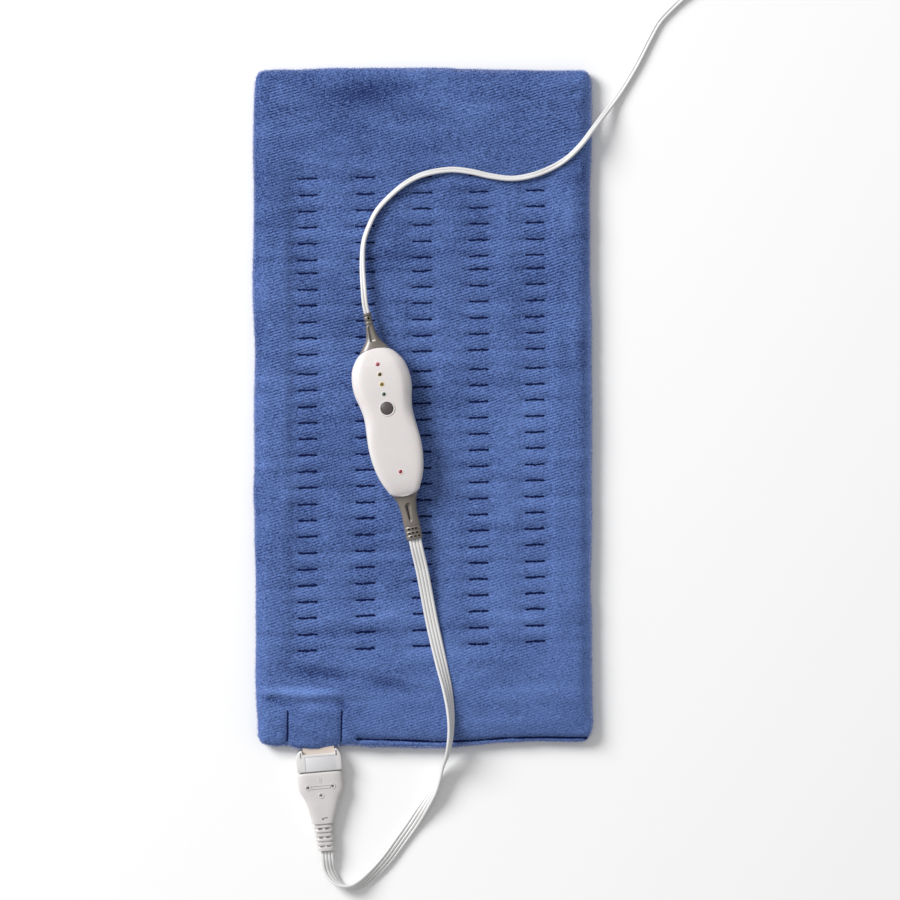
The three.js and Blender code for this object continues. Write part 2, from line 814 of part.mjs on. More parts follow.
function connectorRelief() {
  const start = -grooveWidth / 2 - rearHousingLength - fitGap;
  const pitch = reliefLength / (reliefRibs + 0.5);
  const sides = 12;
  const power = 2.6;
  const rings = [];
  const halfHeight = (share) => THREE.MathUtils.lerp(reliefHalfHeight, reliefTipHalfHeight, share);
  const add = (distance, inset) => {
    const share = distance / reliefLength;
    const a = THREE.MathUtils.lerp(reliefHalfWidth, reliefTipHalfWidth, share) - inset;
    const b = halfHeight(share) - inset;
    rings.push(roundedRing(sides, start - distance, a, b, b, connectorAxisHeight, power));
  };
  add(0, reliefSlotDepth);
  for (let rib = 0; rib < reliefRibs; rib += 1) {
    const from = (rib + 0.5) * pitch;
    const before = rib % 2 === 0 ? reliefSlotDepth : reliefGrooveDepth;
    const after = rib % 2 === 0 ? reliefGrooveDepth : reliefSlotDepth;
    add(from - pitch * 0.1, before);
    add(from, 0);
    add(from + pitch * 0.5, 0);
    add(from + pitch * 0.6, after);
  }
  rings.pop();
  add(reliefLength, 0);
  const web = loft([0, 1].map((share) => {
    const b = halfHeight(share) - reliefGrooveDepth;
    return roundedRing(sides, start - share * reliefLength, reliefWebHalfWidth, b, b, connectorAxisHeight, power);
  }));
  return join(loft(rings), web);
}

// Controller frame: the nose of the shells is at the origin and the body runs along -Y

const shellShares = [
  // distance from the nose, half width, rise
  [0, 0.17, 0.5], [0.006, 0.34, 0.53], [0.024, 0.545, 0.6], [0.055, 0.71, 0.7], [0.109, 0.885, 0.84],
  [0.162, 0.965, 0.92], [0.227, 1, 0.975], [0.293, 0.978, 1], [0.36, 0.9, 1], [0.426, 0.846, 1],
  [0.478, 0.842, 1], [0.552, 0.87, 1], [0.641, 0.9, 1], [0.722, 0.887, 0.99], [0.789, 0.842, 0.965],
  [0.848, 0.775, 0.92], [0.907, 0.665, 0.84], [0.944, 0.572, 0.76], [0.972, 0.496, 0.69],
  [0.991, 0.338, 0.63], [1, 0.17, 0.6],
];
const endRiseShare = 0.5;
const endDepthShare = 0.8;

// The closed outer form of both shells, grown or drawn in all round, with a table of shares and a count of sides.
function shellForm(grow, shares = shellShares, sides = shellSides) {
  const depthFull = splitHeight + undersideFlat;
  const middle = shellLength / 2;
  const rings = shares.map(([along, across, rise]) => {
    const fromMiddle = middle - along * shellLength;
    const y = -middle + (fromMiddle / middle) * (middle + grow);
    const depthShare = endDepthShare + (1 - endDepthShare) * ((rise - endRiseShare) / (1 - endRiseShare));
    return roundedRing(
      sides, y, across * lobeHalfWidth + grow, rise * shellRise + grow, depthShare * depthFull + grow,
      splitHeight, shellCornerPower,
    );
  });
  return loft(rings);
}

// The hollow inside the shells, from every other station away from the ends.
function shellHollow() {
  const shares = shellShares.filter(([along], place) => (
    place % 2 === 0 || along < hollowEndShare || along > 1 - hollowEndShare
  ));
  return shellForm(-shellWall, shares, hollowSides);
}

function slabBetween(bottom, top) {
  return boxBetween([-padWidth, -padLength, bottom], [padWidth, padLength, top]);
}

// Half width and rise of the shells at a distance from the nose.
function shellAt(fromNose) {
  const share = fromNose / shellLength;
  const next = Math.max(shellShares.findIndex(([along]) => along >= share), 1);
  const [from, ...low] = shellShares[next - 1];
  const [to, ...high] = shellShares[next];
  const [across, rise] = low.map((value, k) => THREE.MathUtils.mapLinear(share, from, to, value, high[k]));
  return { half: across * lobeHalfWidth, rise: rise * shellRise };
}

function shellTop(fromNose) {
  return splitHeight + shellAt(fromNose).rise;
}

const postPlaces = [postFromNose, shellLength - postFromTail].flatMap((along) => [
  [-postSpread, -along], [postSpread, -along],
]);

function lampPlaces() {
  const places = [];
  for (let lamp = 0; lamp < lampRowCount; lamp += 1) {
    places.push(lampFromNose + lamp * lampPitch);
  }
  places.push(shellLength - heatLampFromTail);
  return places;
}

function neckOpening(halfAcross, atTail) {
  const reach = shellWall + neckFlangeInset;
  const outer = atTail ? -shellLength - cutOverrun : cutOverrun;
  const inner = atTail ? reach - shellLength : -reach;
  return boxBetween(
    [-halfAcross - fitGap, Math.min(outer, inner), splitHeight - neckHalfHeight - fitGap],
    [halfAcross + fitGap, Math.max(outer, inner), splitHeight + neckHalfHeight + fitGap],
  );
}

function shellOpenings() {
  return [neckOpening(upperNeckHalfWidth, false), neckOpening(lowerNeckHalfWidth, true)];
}

function upperShell() {
  const full = splitHeight + shellRise + cutOverrun;
  const outer = common(shellForm(0), slabBetween(splitHeight + fitGap / 2, full));
  const hollow = shellHollow();
  const buttonHole = roundBar(buttonRadius + fitGap, splitHeight, full, 24).translate(0, -buttonFromNose, 0);
  const lampHoles = lampPlaces().map((along) => (
    roundBar(lampRadius + fitGap, splitHeight, full, 10).translate(0, -along, 0)
  ));
  const inner = shellRise - shellWall;
  const posts = postPlaces.map(([x, y]) => (
    roundBar(upperPostRadius, boardTop + fitGap, splitHeight + inner, 8).translate(x, y, 0)
  ));
  const shell = cut(outer, hollow, ...shellOpenings(), buttonHole, ...lampHoles);
  return join(shell, ...posts);
}

function lowerShell() {
  const outer = common(shellForm(0), slabBetween(0, splitHeight - fitGap / 2));
  const hollow = shellHollow();
  const posts = postPlaces.map(([x, y]) => (
    roundBar(postRadius, shellWall / 2, boardBottom - fitGap, 12).translate(x, y, 0)
  ));
  const screwPockets = postPlaces.map(([x, y]) => (
    roundBar(screwPocketRadius, -cutOverrun, screwPocketDepth, 12).translate(x, y, 0)
  ));
  return cut(join(cut(outer, hollow, ...shellOpenings()), ...posts), ...screwPockets);
}

// Controller: board and what stands on it

function circuitBoard() {
  const nose = boardFromNose;
  const tail = shellLength - boardFromTail;
  const between = shellShares.map(([along]) => along * shellLength).filter((along) => along > nose && along < tail);
  const side = [nose, ...between, tail].map((along) => [shellAt(along).half - boardInset, -along]);
  return plate([...side, ...side.map(([x, y]) => [-x, y]).reverse()], boardBottom, boardTop);
}

const seatHeight = boardTop + fitGap;

function pushSwitch() {
  const stemBottom = buttonStemBottom();
  const body = bevelledBlock([switchSize, switchSize, switchHeight], [0, -buttonFromNose], seatHeight);
  const top = stemBottom - buttonTravel - fitGap;
  const plunger = roundBar(switchPlungerRadius, seatHeight + switchHeight / 2, top, 10);
  return join(body, plunger.translate(0, -buttonFromNose, 0));
}

// The stem ends just above the switch, with the button's travel left between them.
function buttonStemBottom() {
  return seatHeight + switchHeight + buttonTravel + 3 * fitGap;
}

function powerButton() {
  const surface = shellTop(buttonFromNose);
  const flangeTop = surface - shellWall - 2 * fitGap;
  const flangeBottom = flangeTop - buttonFlangeThickness;
  return turned([
    [0, buttonStemBottom()], [buttonStemRadius, buttonStemBottom()], [buttonStemRadius, flangeBottom],
    [buttonFlangeRadius, flangeBottom], [buttonFlangeRadius, flangeTop], [buttonRadius, flangeTop],
    [buttonRadius, surface], [buttonRadius - buttonCrown / 2, surface + buttonCrown * 0.7],
    [buttonRadius / 2, surface + buttonCrown], [0, surface + buttonCrown],
  ], 24).translate(0, -buttonFromNose, 0);
}

function lamp(fromNose) {
  const surface = shellTop(fromNose);
  const bottom = surface + lampCrown - lampBodyHeight;
  const lens = turned([
    [0, bottom], [lampBaseRadius, bottom], [lampBaseRadius, bottom + lampBaseThickness],
    [lampRadius, bottom + lampBaseThickness], [lampRadius, surface - lampCrown],
    [lampRadius * 0.75, surface + lampCrown * 0.6], [0, surface + lampCrown],
  ], 10);
  const legs = [-1, 1].map((hand) => boxBetween(
    [hand * lampLegSpacing / 2 - lampLegWidth / 2, -lampLegWidth / 2, seatHeight],
    [hand * lampLegSpacing / 2 + lampLegWidth / 2, lampLegWidth / 2, bottom + lampBaseThickness / 2],
  ));
  return join(lens, ...legs).translate(0, -fromNose, 0);
}

function fuse() {
  const [x, along] = fusePlace;
  const half = fuseLength / 2;
  const capRadius = fuseRadius;
  const glassRadius = fuseRadius - fitGap;
  const profile = [
    [0, -half], [capRadius, -half], [capRadius, fuseCapLength - half], [glassRadius, fuseCapLength - half],
    [glassRadius, half - fuseCapLength], [capRadius, half - fuseCapLength], [capRadius, half], [0, half],
  ];
  return turned(profile, 10).rotateX(-Math.PI / 2).translate(x, -along, seatHeight + fuseRadius);
}

function onBoard(size, [x, along]) {
  return bevelledBlock(size, [x, -along], seatHeight);
}

function powerSwitch() {
  const [width, length] = triacBodySize;
  const [x, along] = triacPlace;
  return bevelledBlock([width, length, triacBodySize[2]], [x, -along], seatHeight);
}

function heatSpreader() {
  const [x, along] = triacPlace;
  const back = along + triacBodySize[1] / 2 + fitGap + spreaderSize[1] / 2;
  return onBoard(spreaderSize, [x, back]);
}

// Controller: boots that narrow from the shells to the cord, with a ringed tip and a long slot

const upperBootShares = [
  // distance from the tip, half width, half height
  [0.09, 0.27, 0.53], [0.24, 0.285, 0.56], [0.37, 0.31, 0.6], [0.47, 0.345, 0.64], [0.58, 0.41, 0.7],
  [0.67, 0.495, 0.77], [0.76, 0.61, 0.85], [0.86, 0.79, 0.93], [0.94, 0.925, 0.98], [1, 1, 1],
];
const lowerBootShares = [
  [0.09, 0.56, 0.62], [0.22, 0.57, 0.64], [0.34, 0.565, 0.66], [0.46, 0.54, 0.68], [0.58, 0.56, 0.72],
  [0.68, 0.6, 0.77], [0.78, 0.66, 0.84], [0.87, 0.79, 0.92], [0.94, 0.91, 0.97], [1, 1, 1],
];
const ringShares = [0, 0.02, 0.03, 0.05, 0.06, 0.08]; // two grooves between three rings

function boot(shares, halfAcross, halfTall, length) {
  const reach = length + bootOverlap;
  const [, tipAcross, tipTall] = shares[0];
  const rings = [];
  const add = (share, across, tall, inset) => {
    const y = length - share * reach;
    rings.push(roundedRing(
      12, y, across * halfAcross - inset, tall * halfTall - inset, tall * halfTall - inset, splitHeight, 2.4,
    ));
  };
  const ringWidth = 3;
  ringShares.forEach((share, place) => {
    const inset = place % 4 === 2 || place % 4 === 3 ? bootRingDepth : 0;
    add(share * ringWidth, tipAcross, tipTall, inset);
  });
  shares.filter(([share]) => share > ringShares.at(-1) * ringWidth)
    .forEach(([share, across, tall]) => add(share, across, tall, 0));
  return loft(rings);
}

// A long slot with round ends, cut into the top of a boot.
function bootSlot(fromTip, slotLength, slotWidth, length, depthHeight) {
  const middle = length - fromTip - slotLength / 2;
  const run = (slotLength - slotWidth) / 2;
  const outline = [];
  for (let step = 0; step <= 4; step += 1) {
    const angle = (step / 4) * Math.PI;
    outline.push([Math.cos(angle) * slotWidth / 2, middle + run + Math.sin(angle) * slotWidth / 2]);
  }
  for (let step = 0; step <= 4; step += 1) {
    const angle = Math.PI + (step / 4) * Math.PI;
    outline.push([Math.cos(angle) * slotWidth / 2, middle - run + Math.sin(angle) * slotWidth / 2]);
  }
  return plate(outline, depthHeight, splitHeight + shellRise);
}

function bootWithNeck(body, neckHalf) {
  const flangeFront = -shellWall - neckFlangeInset;
  const trimmed = cut(body, shellForm(fitGap));
  const neck = boxBetween(
    [-neckHalf, flangeFront - fitGap, splitHeight - neckHalfHeight],
    [neckHalf, bootOverlap, splitHeight + neckHalfHeight],
  );
  const flange = boxBetween(
    [-neckHalf - neckFlangeWidth, flangeFront - neckFlangeThickness - fitGap, splitHeight - neckHalfHeight - neckFlangeHeight],
    [neckHalf + neckFlangeWidth, flangeFront - fitGap, splitHeight + neckHalfHeight + neckFlangeHeight],
  );
  return join(trimmed, neck, flange);
}

function upperBoot() {
  const body = boot(upperBootShares, upperBootHalfWidth, upperBootHalfHeight, upperBootLength);
  const slotFloor = splitHeight + upperBootShares[3][2] * upperBootHalfHeight - bootSlotDepth;
  const slot = bootSlot(upperSlotFromTip, upperSlotLength, upperSlotWidth, upperBootLength, slotFloor);
  return cut(bootWithNeck(body, upperNeckHalfWidth), slot);
}

// The lower boot is made like the upper one and then turned to the tail of the shells.
function lowerBoot() {
  const body = boot(lowerBootShares, lowerBootHalfWidth, lowerBootHalfHeight, lowerBootLength);
  const turnedBody = body.rotateZ(Math.PI).translate(0, -shellLength, 0);
  const trimmed = cut(turnedBody, shellForm(fitGap));
  const flangeFront = shellWall + neckFlangeInset - shellLength;
  const half = lowerNeckHalfWidth;
  const neck = boxBetween(
    [-half, -shellLength - bootOverlap, splitHeight - neckHalfHeight],
    [half, flangeFront + fitGap, splitHeight + neckHalfHeight],
  );
  const flange = boxBetween(
    [-half - neckFlangeWidth, flangeFront + fitGap, splitHeight - neckHalfHeight - neckFlangeHeight],
    [half + neckFlangeWidth, flangeFront + neckFlangeThickness + fitGap, splitHeight + neckHalfHeight + neckFlangeHeight],
  );
  const slotFloor = splitHeight + lowerBootShares[3][2] * lowerBootHalfHeight - bootSlotDepth;
  const slot = bootSlot(lowerSlotFromTip, lowerSlotLength, lowerSlotWidth, lowerBootLength, slotFloor);
  slot.rotateZ(Math.PI).translate(0, -shellLength, 0);
  return cut(join(trimmed, neck, flange), slot);
}

// Cords. Each station is x, y, z and roll in degrees, chosen by hand.

function placeInFrame(frame, x, y, z) {
  return new THREE.Vector3(x, y, z).applyMatrix4(frame.matrix).toArray();
}

// The lead turns once about its own line: half at its bend on the floor, half at the pad's edge.
const leadTwist = -360;
const leadStations = [
  [-84.2, -416.5, 5, -14], [-80.6, -423.4, 5.4, -40], [-76, -427.8, 6.2, -68], [-69.8, -430, 6.6, -86],
  [-63.4, -430.2, 6.6, -106], [-55.7, -427.2, 6, -124], [-44.7, -418.8, 5.3, -134], [-32.2, -405.9, 4.6, -145],
  [-20.9, -390.9, 3.9, -156], [-9.5, -375, 3.4, -172], [0.4, -359.6, 4.4, -208], [9.3, -345.6, 5.8, -236],
  [14.4, -334.2, 7, -258], [17.8, -324, 9.4, -270], [21.6, -313.2, 14.2, -280], [24.3, -299, 19.6, -288],
  [25.2, -285, 20.9, -294], [24.3, -270, 20.6, -304], [21.5, -252, 19.4, -318], [17.1, -233, 17.9, -335],
  [12.5, -213, 16.6, -350], [7.5, -190, 16.2, -360], [3.2, -167, 17.4, -360], [-0.6, -147, 20, -360],
];

function flatLead() {
  const reliefTip = -grooveWidth / 2 - rearHousingLength - fitGap - reliefLength;
  const bootTip = -shellLength - lowerBootLength;
  const exitFrom = (frame, tip, z, run, roll) => [...placeInFrame(frame, 0, tip - run, z), roll];
  const stations = [
    exitFrom(connectorFrame, reliefTip, connectorAxisHeight, fitGap, 0),
    exitFrom(connectorFrame, reliefTip, connectorAxisHeight, cordExitRun, 0),
    ...leadStations,
    exitFrom(controllerFrame, bootTip, splitHeight, cordExitRun, leadTwist),
    exitFrom(controllerFrame, bootTip, splitHeight, fitGap, leadTwist),
  ];
  const { path, length } = smoothPath(stations, leadSteps);
  console.log(`flat lead ${length.toFixed(0)} mm`);
  const a = leadWidth / 2;
  const b = leadThickness / 2;
  const section = [
    [a, b / 2], [a - b / 2, b], [b / 2 - a, b], [-a, b / 2],
    [-a, -b / 2], [b / 2 - a, -b], [a - b / 2, -b], [a, -b / 2],
  ];
  return sweep(section, path);
}

const cordStations = [
  [-53.4, 108, 22.2, -12], [-54.5, 129, 19.6, -38], [-53.3, 149.5, 18, -58], [-47.6, 166, 17.1, -60],
  [-40.9, 178.4, 17, -57], [-27.5, 192.7, 17, -54], [-14, 203.2, 16.8, -42], [0.5, 210.1, 16.6, -30],
  [24.3, 214.4, 16.2, -14], [43.2, 212.6, 16.2, -14], [60.8, 208.7, 16.4, -24], [80.5, 206.5, 16.7, -38],
  [97.9, 209.2, 16.4, -20], [115.4, 215.9, 16.2, -10], [129.5, 224.5, 16.8, -40], [142.7, 237.5, 16.4, -46],
  [152.5, 250.5, 13.8, -44], [161.5, 262.5, 8.9, -38], [170.5, 274.5, 4.1, -32], [179.5, 287.5, 2.4, -26],
  [192.6, 309.5, 2.2, -20], [204.3, 332.5, 2, -12], [213, 348, 1.9, -8], [225, 361, 2, -10],
  [238, 373, 2.5, -26], [249.5, 383, 2.9, -48], [262.3, 390.6, 3.1, -74],
];
const coilRoll = -90; // the coil's turns stand on their narrow side

function flatCordSection(sides) {
  const a = cordWidth / 2;
  const b = cordThickness / 2;
  const waist = 0.76 * b;
  const lobe = 0.7 * a;
  if (sides === 6) {
    return [[a, 0], [lobe, b], [-lobe, b], [-a, 0], [-lobe, -b], [lobe, -b]];
  }
  return [[a, 0], [lobe, b], [0, waist], [-lobe, b], [-a, 0], [-lobe, -b], [0, -waist], [lobe, -b]];
}

const coilLowHeight = coilFloorGap + cordWidth / 2;

function mainsCord() {
  const [x, y] = coilMiddle;
  const exitFrom = (run) => [...placeInFrame(controllerFrame, 0, upperBootLength + run, splitHeight), 0];
  const tangent = y - coilOuterRadius;
  const stations = [
    exitFrom(fitGap), exitFrom(cordExitRun), ...cordStations,
    [x - cordWidth - cordExitRun, tangent, coilLowHeight, coilRoll],
    [x - cordWidth - fitGap, tangent, coilLowHeight, coilRoll],
  ];
  const { path, length } = smoothPath(stations, cordSteps);
  console.log(`mains cord, free stretch ${length.toFixed(0)} mm`);
  return sweep(flatCordSection(8), path);
}

// The coil spirals in on the floor, climbs a layer in the half turn where it reverses, and spirals out again.
// Its last half turn rises to the height of the plug.
function coilPoints() {
  const [x, y] = coilMiddle;
  const total = coilTurns * coilStepsPerTurn;
  const points = [new THREE.Vector3(x - cordWidth, y - coilOuterRadius, coilLowHeight)];
  for (let step = 0; step <= total; step += 1) {
    const turns = step / coilStepsPerTurn;
    const angle = turns * 2 * Math.PI - Math.PI / 2;
    const fromReverse = Math.abs(turns - coilTurns / 2);
    const radius = coilOuterRadius - coilTurnPitch * (coilTurns / 2 - fromReverse);
    const climb = THREE.MathUtils.smoothstep(turns, coilTurns / 2 - 0.25, coilTurns / 2 + 0.25);
    const lift = THREE.MathUtils.smoothstep(turns, coilTurns - 0.5, coilTurns);
    const plugLift = coilFloorGap + plugHalfWidth - coilLowHeight - coilLayerPitch;
    const z = coilLowHeight + climb * coilLayerPitch + lift * plugLift;
    points.push(new THREE.Vector3(x + radius * Math.cos(angle), y + radius * Math.sin(angle), z));
  }
  const end = points.at(-1);
  points.push(new THREE.Vector3(end.x, end.y + cordWidth, end.z));
  return points;
}

// Least distance between the corners of rings that are more than half a turn apart.
function leastSelfGap(section, path) {
  const frames = path.computeFrenetFrames();
  const rings = path.points.map((point, place) => section.map(([across, up]) => (
    point.clone()
      .addScaledVector(frames.normals[place], across)
      .addScaledVector(frames.binormals[place], up)
  )));
  let least = Infinity;
  for (let a = 0; a < rings.length; a += 1) {
    for (let b = a + coilStepsPerTurn / 2; b < rings.length; b += 1) {
      if (path.points[a].distanceTo(path.points[b]) < 4 * cordWidth) {
        for (const p of rings[a]) {
          for (const q of rings[b]) {
            least = Math.min(least, p.distanceTo(q));
          }
        }
      }
    }
  }
  return least;
}

function cordCoil() {
  const points = coilPoints();
  const path = new StationPath(points, points.map(() => coilRoll));
  const section = flatCordSection(6);
  const length = points.slice(1).reduce((sum, point, place) => sum + point.distanceTo(points[place]), 0);
  console.log(`mains cord, coil ${length.toFixed(0)} mm, least gap to itself ${leastSelfGap(section, path).toFixed(2)} mm`);
  return sweep(section, path);
}

// Plug frame: the cord comes in at the origin and the blades point along +Y. The plug stands on its side.
const plugFrame = new THREE.Group();
const coilEnd = coilPoints().at(-1);
plugFrame.position.set(coilEnd.x, coilEnd.y + fitGap, coilFloorGap + plugHalfWidth);

const plugShares = [
  // distance, half thickness, half width
  [0, 0.56, 0.55], [0.08, 0.72, 0.68], [0.24, 0.86, 0.84], [0.42, 0.8, 0.86], [0.6, 0.84, 0.93],
  [0.78, 0.97, 1], [0.95, 1, 1], [1, 0.95, 0.97],
];

function plugBody() {
  const sides = 16;
  const rings = [];
  const pitch = plugReliefLength / plugReliefRibs;
  const relief = (y, inset) => rings.push(roundedRing(
    sides, y, plugReliefHalfThickness - inset, plugReliefHalfWidth - inset, plugReliefHalfWidth - inset, 0, 3,
  ));
  relief(0, plugReliefRibDepth);
  for (let rib = 0; rib < plugReliefRibs; rib += 1) {
    relief(rib * pitch + pitch * 0.15, 0);
    relief(rib * pitch + pitch * 0.65, 0);
    relief(rib * pitch + pitch * 0.8, plugReliefRibDepth);
  }
  for (const [along, across, tall] of plugShares) {
    const y = plugReliefLength + along * plugBodyLength;
    rings.push(roundedRing(
      sides, y, across * plugHalfThickness, tall * plugHalfWidth, tall * plugHalfWidth, 0, 3.4,
    ));
  }
  const face = plugReliefLength + plugBodyLength;
  const slots = [wideBladeWidth, narrowBladeWidth].map((width, place) => {
    const z = (place === 0 ? 1 : -1) * bladeSpacing / 2;
    const a = width / 2 + fitGap;
    const b = bladeThickness / 2 + fitGap;
    return boxBetween([-a, face - bladeRoot - fitGap, z - b], [a, face + cutOverrun, z + b]);
  });
  return cut(loft(rings), ...slots);
}

function plugBlade(width, hand) {
  const face = plugReliefLength + plugBodyLength;
  const tip = face + bladeLength;
  const a = width / 2;
  const outline = [
    [-a, face - bladeRoot], [a, face - bladeRoot], [a, tip - bladeTipBevel], [a - bladeTipBevel, tip],
    [bladeTipBevel - a, tip], [-a, tip - bladeTipBevel],
  ];
  const low = hand * bladeSpacing / 2 - bladeThickness / 2;
  const blade = plate(outline, low, low + bladeThickness);
  const hole = roundBar(bladeHoleRadius, low - cutOverrun, low + bladeThickness + cutOverrun, 10);
  return cut(blade, hole.translate(0, tip - bladeHoleFromTip, 0));
}

// Materials

function finish(color, roughness, metalness = 0) {
  return new THREE.MeshStandardMaterial({ color, roughness, metalness });
}

const finishes = {
  plush: finish(0x5269a0, 0.95),
  felt: finish(0xe9e6df, 0.95),
  wireJacket: finish(0xd8c9a2, 0.6),
  creamNylon: finish(0xe9d3bd, 0.5),
  greyWhiteVinyl: finish(0xd6d3d0, 0.5),
  whiteVinyl: finish(0xe8e6e0, 0.5),
  whiteShell: finish(0xe9e6e3, 0.25),
  greyRubber: finish(0x8f8a80, 0.35),
  buttonGrey: finish(0x77716f, 0.5),
  board: finish(0x2f6a45, 0.5),
  blackPlastic: finish(0x1d1d1f, 0.5),
  capacitorYellow: finish(0xd9b32c, 0.5),
  glass: finish(0xcfd8d4, 0.1),
  aluminium: finish(0xb9bcbf, 0.4, 1),
  brass: finish(0xc9a24a, 0.3, 1),
  nickel: finish(0xc3c2bc, 0.3, 1),
  redLens: finish(0xc43440, 0.2),
  amberLens: finish(0x8f7630, 0.2),
  oliveLens: finish(0x5a5636, 0.2),
  greenLens: finish(0x33503f, 0.2),
};

// Assembly

const heatingPad = new THREE.Group();
heatingPad.name = 'heating_pad';
heatingPad.add(connectorFrame, controllerFrame, plugFrame);

function add(parent, name, geometry, material) {
  const mesh = new THREE.Mesh(geometry, material);
  mesh.name = name;
  parent.add(mesh);
}

add(heatingPad, 'upper_panel', upperPanel(), finishes.plush);
add(heatingPad, 'lower_panel', lowerPanel(), finishes.plush);
add(heatingPad, 'carrier_sheet', corePlate(carrierBottom, carrierThickness), finishes.felt);
add(heatingPad, 'batting', corePlate(battingBottom, battingThickness), finishes.felt);
add(heatingPad, 'heating_wire', heatingWire(), finishes.wireJacket);

add(connectorFrame, 'terminal_block', terminalBlock(), finishes.creamNylon);
acrossContacts((x) => x).forEach((x, place) => {
  add(connectorFrame, `terminal_sleeve_${place + 1}`, contactSleeve(x), finishes.brass);
  add(connectorFrame, `connector_pin_${place + 1}`, contactPin(x), finishes.brass);
});
add(connectorFrame, 'connector_front_housing', frontHousing(), finishes.greyWhiteVinyl);
add(connectorFrame, 'connector_rear_housing', rearHousing(), finishes.greyWhiteVinyl);
add(connectorFrame, 'connector_bend_relief', connectorRelief(), finishes.greyWhiteVinyl);

add(controllerFrame, 'upper_shell', upperShell(), finishes.whiteShell);
add(controllerFrame, 'lower_shell', lowerShell(), finishes.whiteShell);
add(controllerFrame, 'power_button', powerButton(), finishes.buttonGrey);
add(controllerFrame, 'upper_boot', upperBoot(), finishes.greyRubber);
add(controllerFrame, 'lower_boot', lowerBoot(), finishes.greyRubber);
add(controllerFrame, 'circuit_board', circuitBoard(), finishes.board);
add(controllerFrame, 'push_switch', pushSwitch(), finishes.blackPlastic);
add(controllerFrame, 'mains_header', onBoard(mainsHeaderSize, mainsHeaderPlace), finishes.blackPlastic);
add(controllerFrame, 'fuse', fuse(), finishes.glass);
add(controllerFrame, 'capacitor', onBoard(capacitorSize, capacitorPlace), finishes.capacitorYellow);
add(controllerFrame, 'control_chip', onBoard(chipSize, chipPlace), finishes.blackPlastic);
add(controllerFrame, 'power_switch', powerSwitch(), finishes.blackPlastic);
add(controllerFrame, 'heat_spreader', heatSpreader(), finishes.aluminium);
add(controllerFrame, 'lead_header', onBoard(leadHeaderSize, [0, shellLength - leadHeaderFromTail]), finishes.blackPlastic);
const lampFinishes = [finishes.redLens, finishes.oliveLens, finishes.amberLens, finishes.greenLens, finishes.redLens];
lampPlaces().forEach((fromNose, place) => {
  add(controllerFrame, `lamp_${place + 1}`, lamp(fromNose), lampFinishes[place] ?? finishes.redLens);
});

add(heatingPad, 'flat_lead', flatLead(), finishes.whiteVinyl);
add(heatingPad, 'mains_cord', mainsCord(), finishes.whiteVinyl);
add(heatingPad, 'mains_cord_coil', cordCoil(), finishes.whiteVinyl);
add(plugFrame, 'plug_body', plugBody(), finishes.whiteVinyl);
add(plugFrame, 'plug_blade_wide', plugBlade(wideBladeWidth, 1), finishes.nickel);
add(plugFrame, 'plug_blade_narrow', plugBlade(narrowBladeWidth, -1), finishes.nickel);

export default heatingPad;
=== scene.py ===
# Heating pad with a hand controller: the looks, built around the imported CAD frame.
# Lengths are written in millimetres and turned to metres where a piece is placed.
import math
import random

import bmesh
import bpy
from mathutils import Matrix, Vector, noise
from mathutils.bvhtree import BVHTree


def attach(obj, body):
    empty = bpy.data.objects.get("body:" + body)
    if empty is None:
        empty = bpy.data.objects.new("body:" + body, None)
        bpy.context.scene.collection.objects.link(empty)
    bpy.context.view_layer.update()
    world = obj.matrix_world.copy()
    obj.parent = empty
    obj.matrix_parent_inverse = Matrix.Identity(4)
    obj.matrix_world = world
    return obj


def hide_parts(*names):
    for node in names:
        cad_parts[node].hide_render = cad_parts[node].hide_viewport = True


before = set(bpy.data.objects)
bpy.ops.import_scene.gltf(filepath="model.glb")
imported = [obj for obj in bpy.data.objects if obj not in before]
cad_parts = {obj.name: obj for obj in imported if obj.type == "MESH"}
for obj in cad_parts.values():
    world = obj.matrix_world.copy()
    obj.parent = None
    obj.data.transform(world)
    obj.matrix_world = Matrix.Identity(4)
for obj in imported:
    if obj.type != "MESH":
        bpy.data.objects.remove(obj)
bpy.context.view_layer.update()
mm = 0.001
dice = random.Random(11)
print("frame loaded")

# Camera: straight above, far enough that it hardly widens towards the edges
photo = {
    "pixels": 900, "pixelSize": 0.9, "padMiddlePixel": (423, 408), "lens": 300, "sensor": 36, "padTop": 14,
}


def fromPixel(px, py):
    x, y = photo["padMiddlePixel"]
    return (px - x) * photo["pixelSize"], (y - py) * photo["pixelSize"]


cameraData = bpy.data.cameras.new("photoCamera")
cameraData.lens = photo["lens"]
cameraData.sensor_width = photo["sensor"]
cameraObject = bpy.data.objects.new("photoCamera", cameraData)
bpy.context.scene.collection.objects.link(cameraObject)
middleX, middleY = fromPixel(photo["pixels"] / 2, photo["pixels"] / 2)
reach = photo["pixels"] * photo["pixelSize"] * photo["lens"] / photo["sensor"]
cameraObject.location = Vector((middleX, middleY, photo["padTop"] + reach)) * mm
cameraData.clip_end = 20
bpy.context.scene.camera = cameraObject


# Small tools for pieces and materials

def hexColour(code):
    parts = [int(code[k:k + 2], 16) / 255 for k in (1, 3, 5)]
    return tuple(p / 12.92 if p <= 0.04045 else ((p + 0.055) / 1.055) ** 2.4 for p in parts) + (1.0,)


def addNode(tree, kind, settings=None, inputs=None):
    node = tree.nodes.new("ShaderNode" + kind)
    for key, value in (settings or {}).items():
        setattr(node, key, value)
    for key, value in (inputs or {}).items():
        value = value.outputs[0] if isinstance(value, bpy.types.Node) else value
        if isinstance(value, bpy.types.NodeSocket):
            tree.links.new(value, node.inputs[key])
        else:
            node.inputs[key].default_value = value
    return node


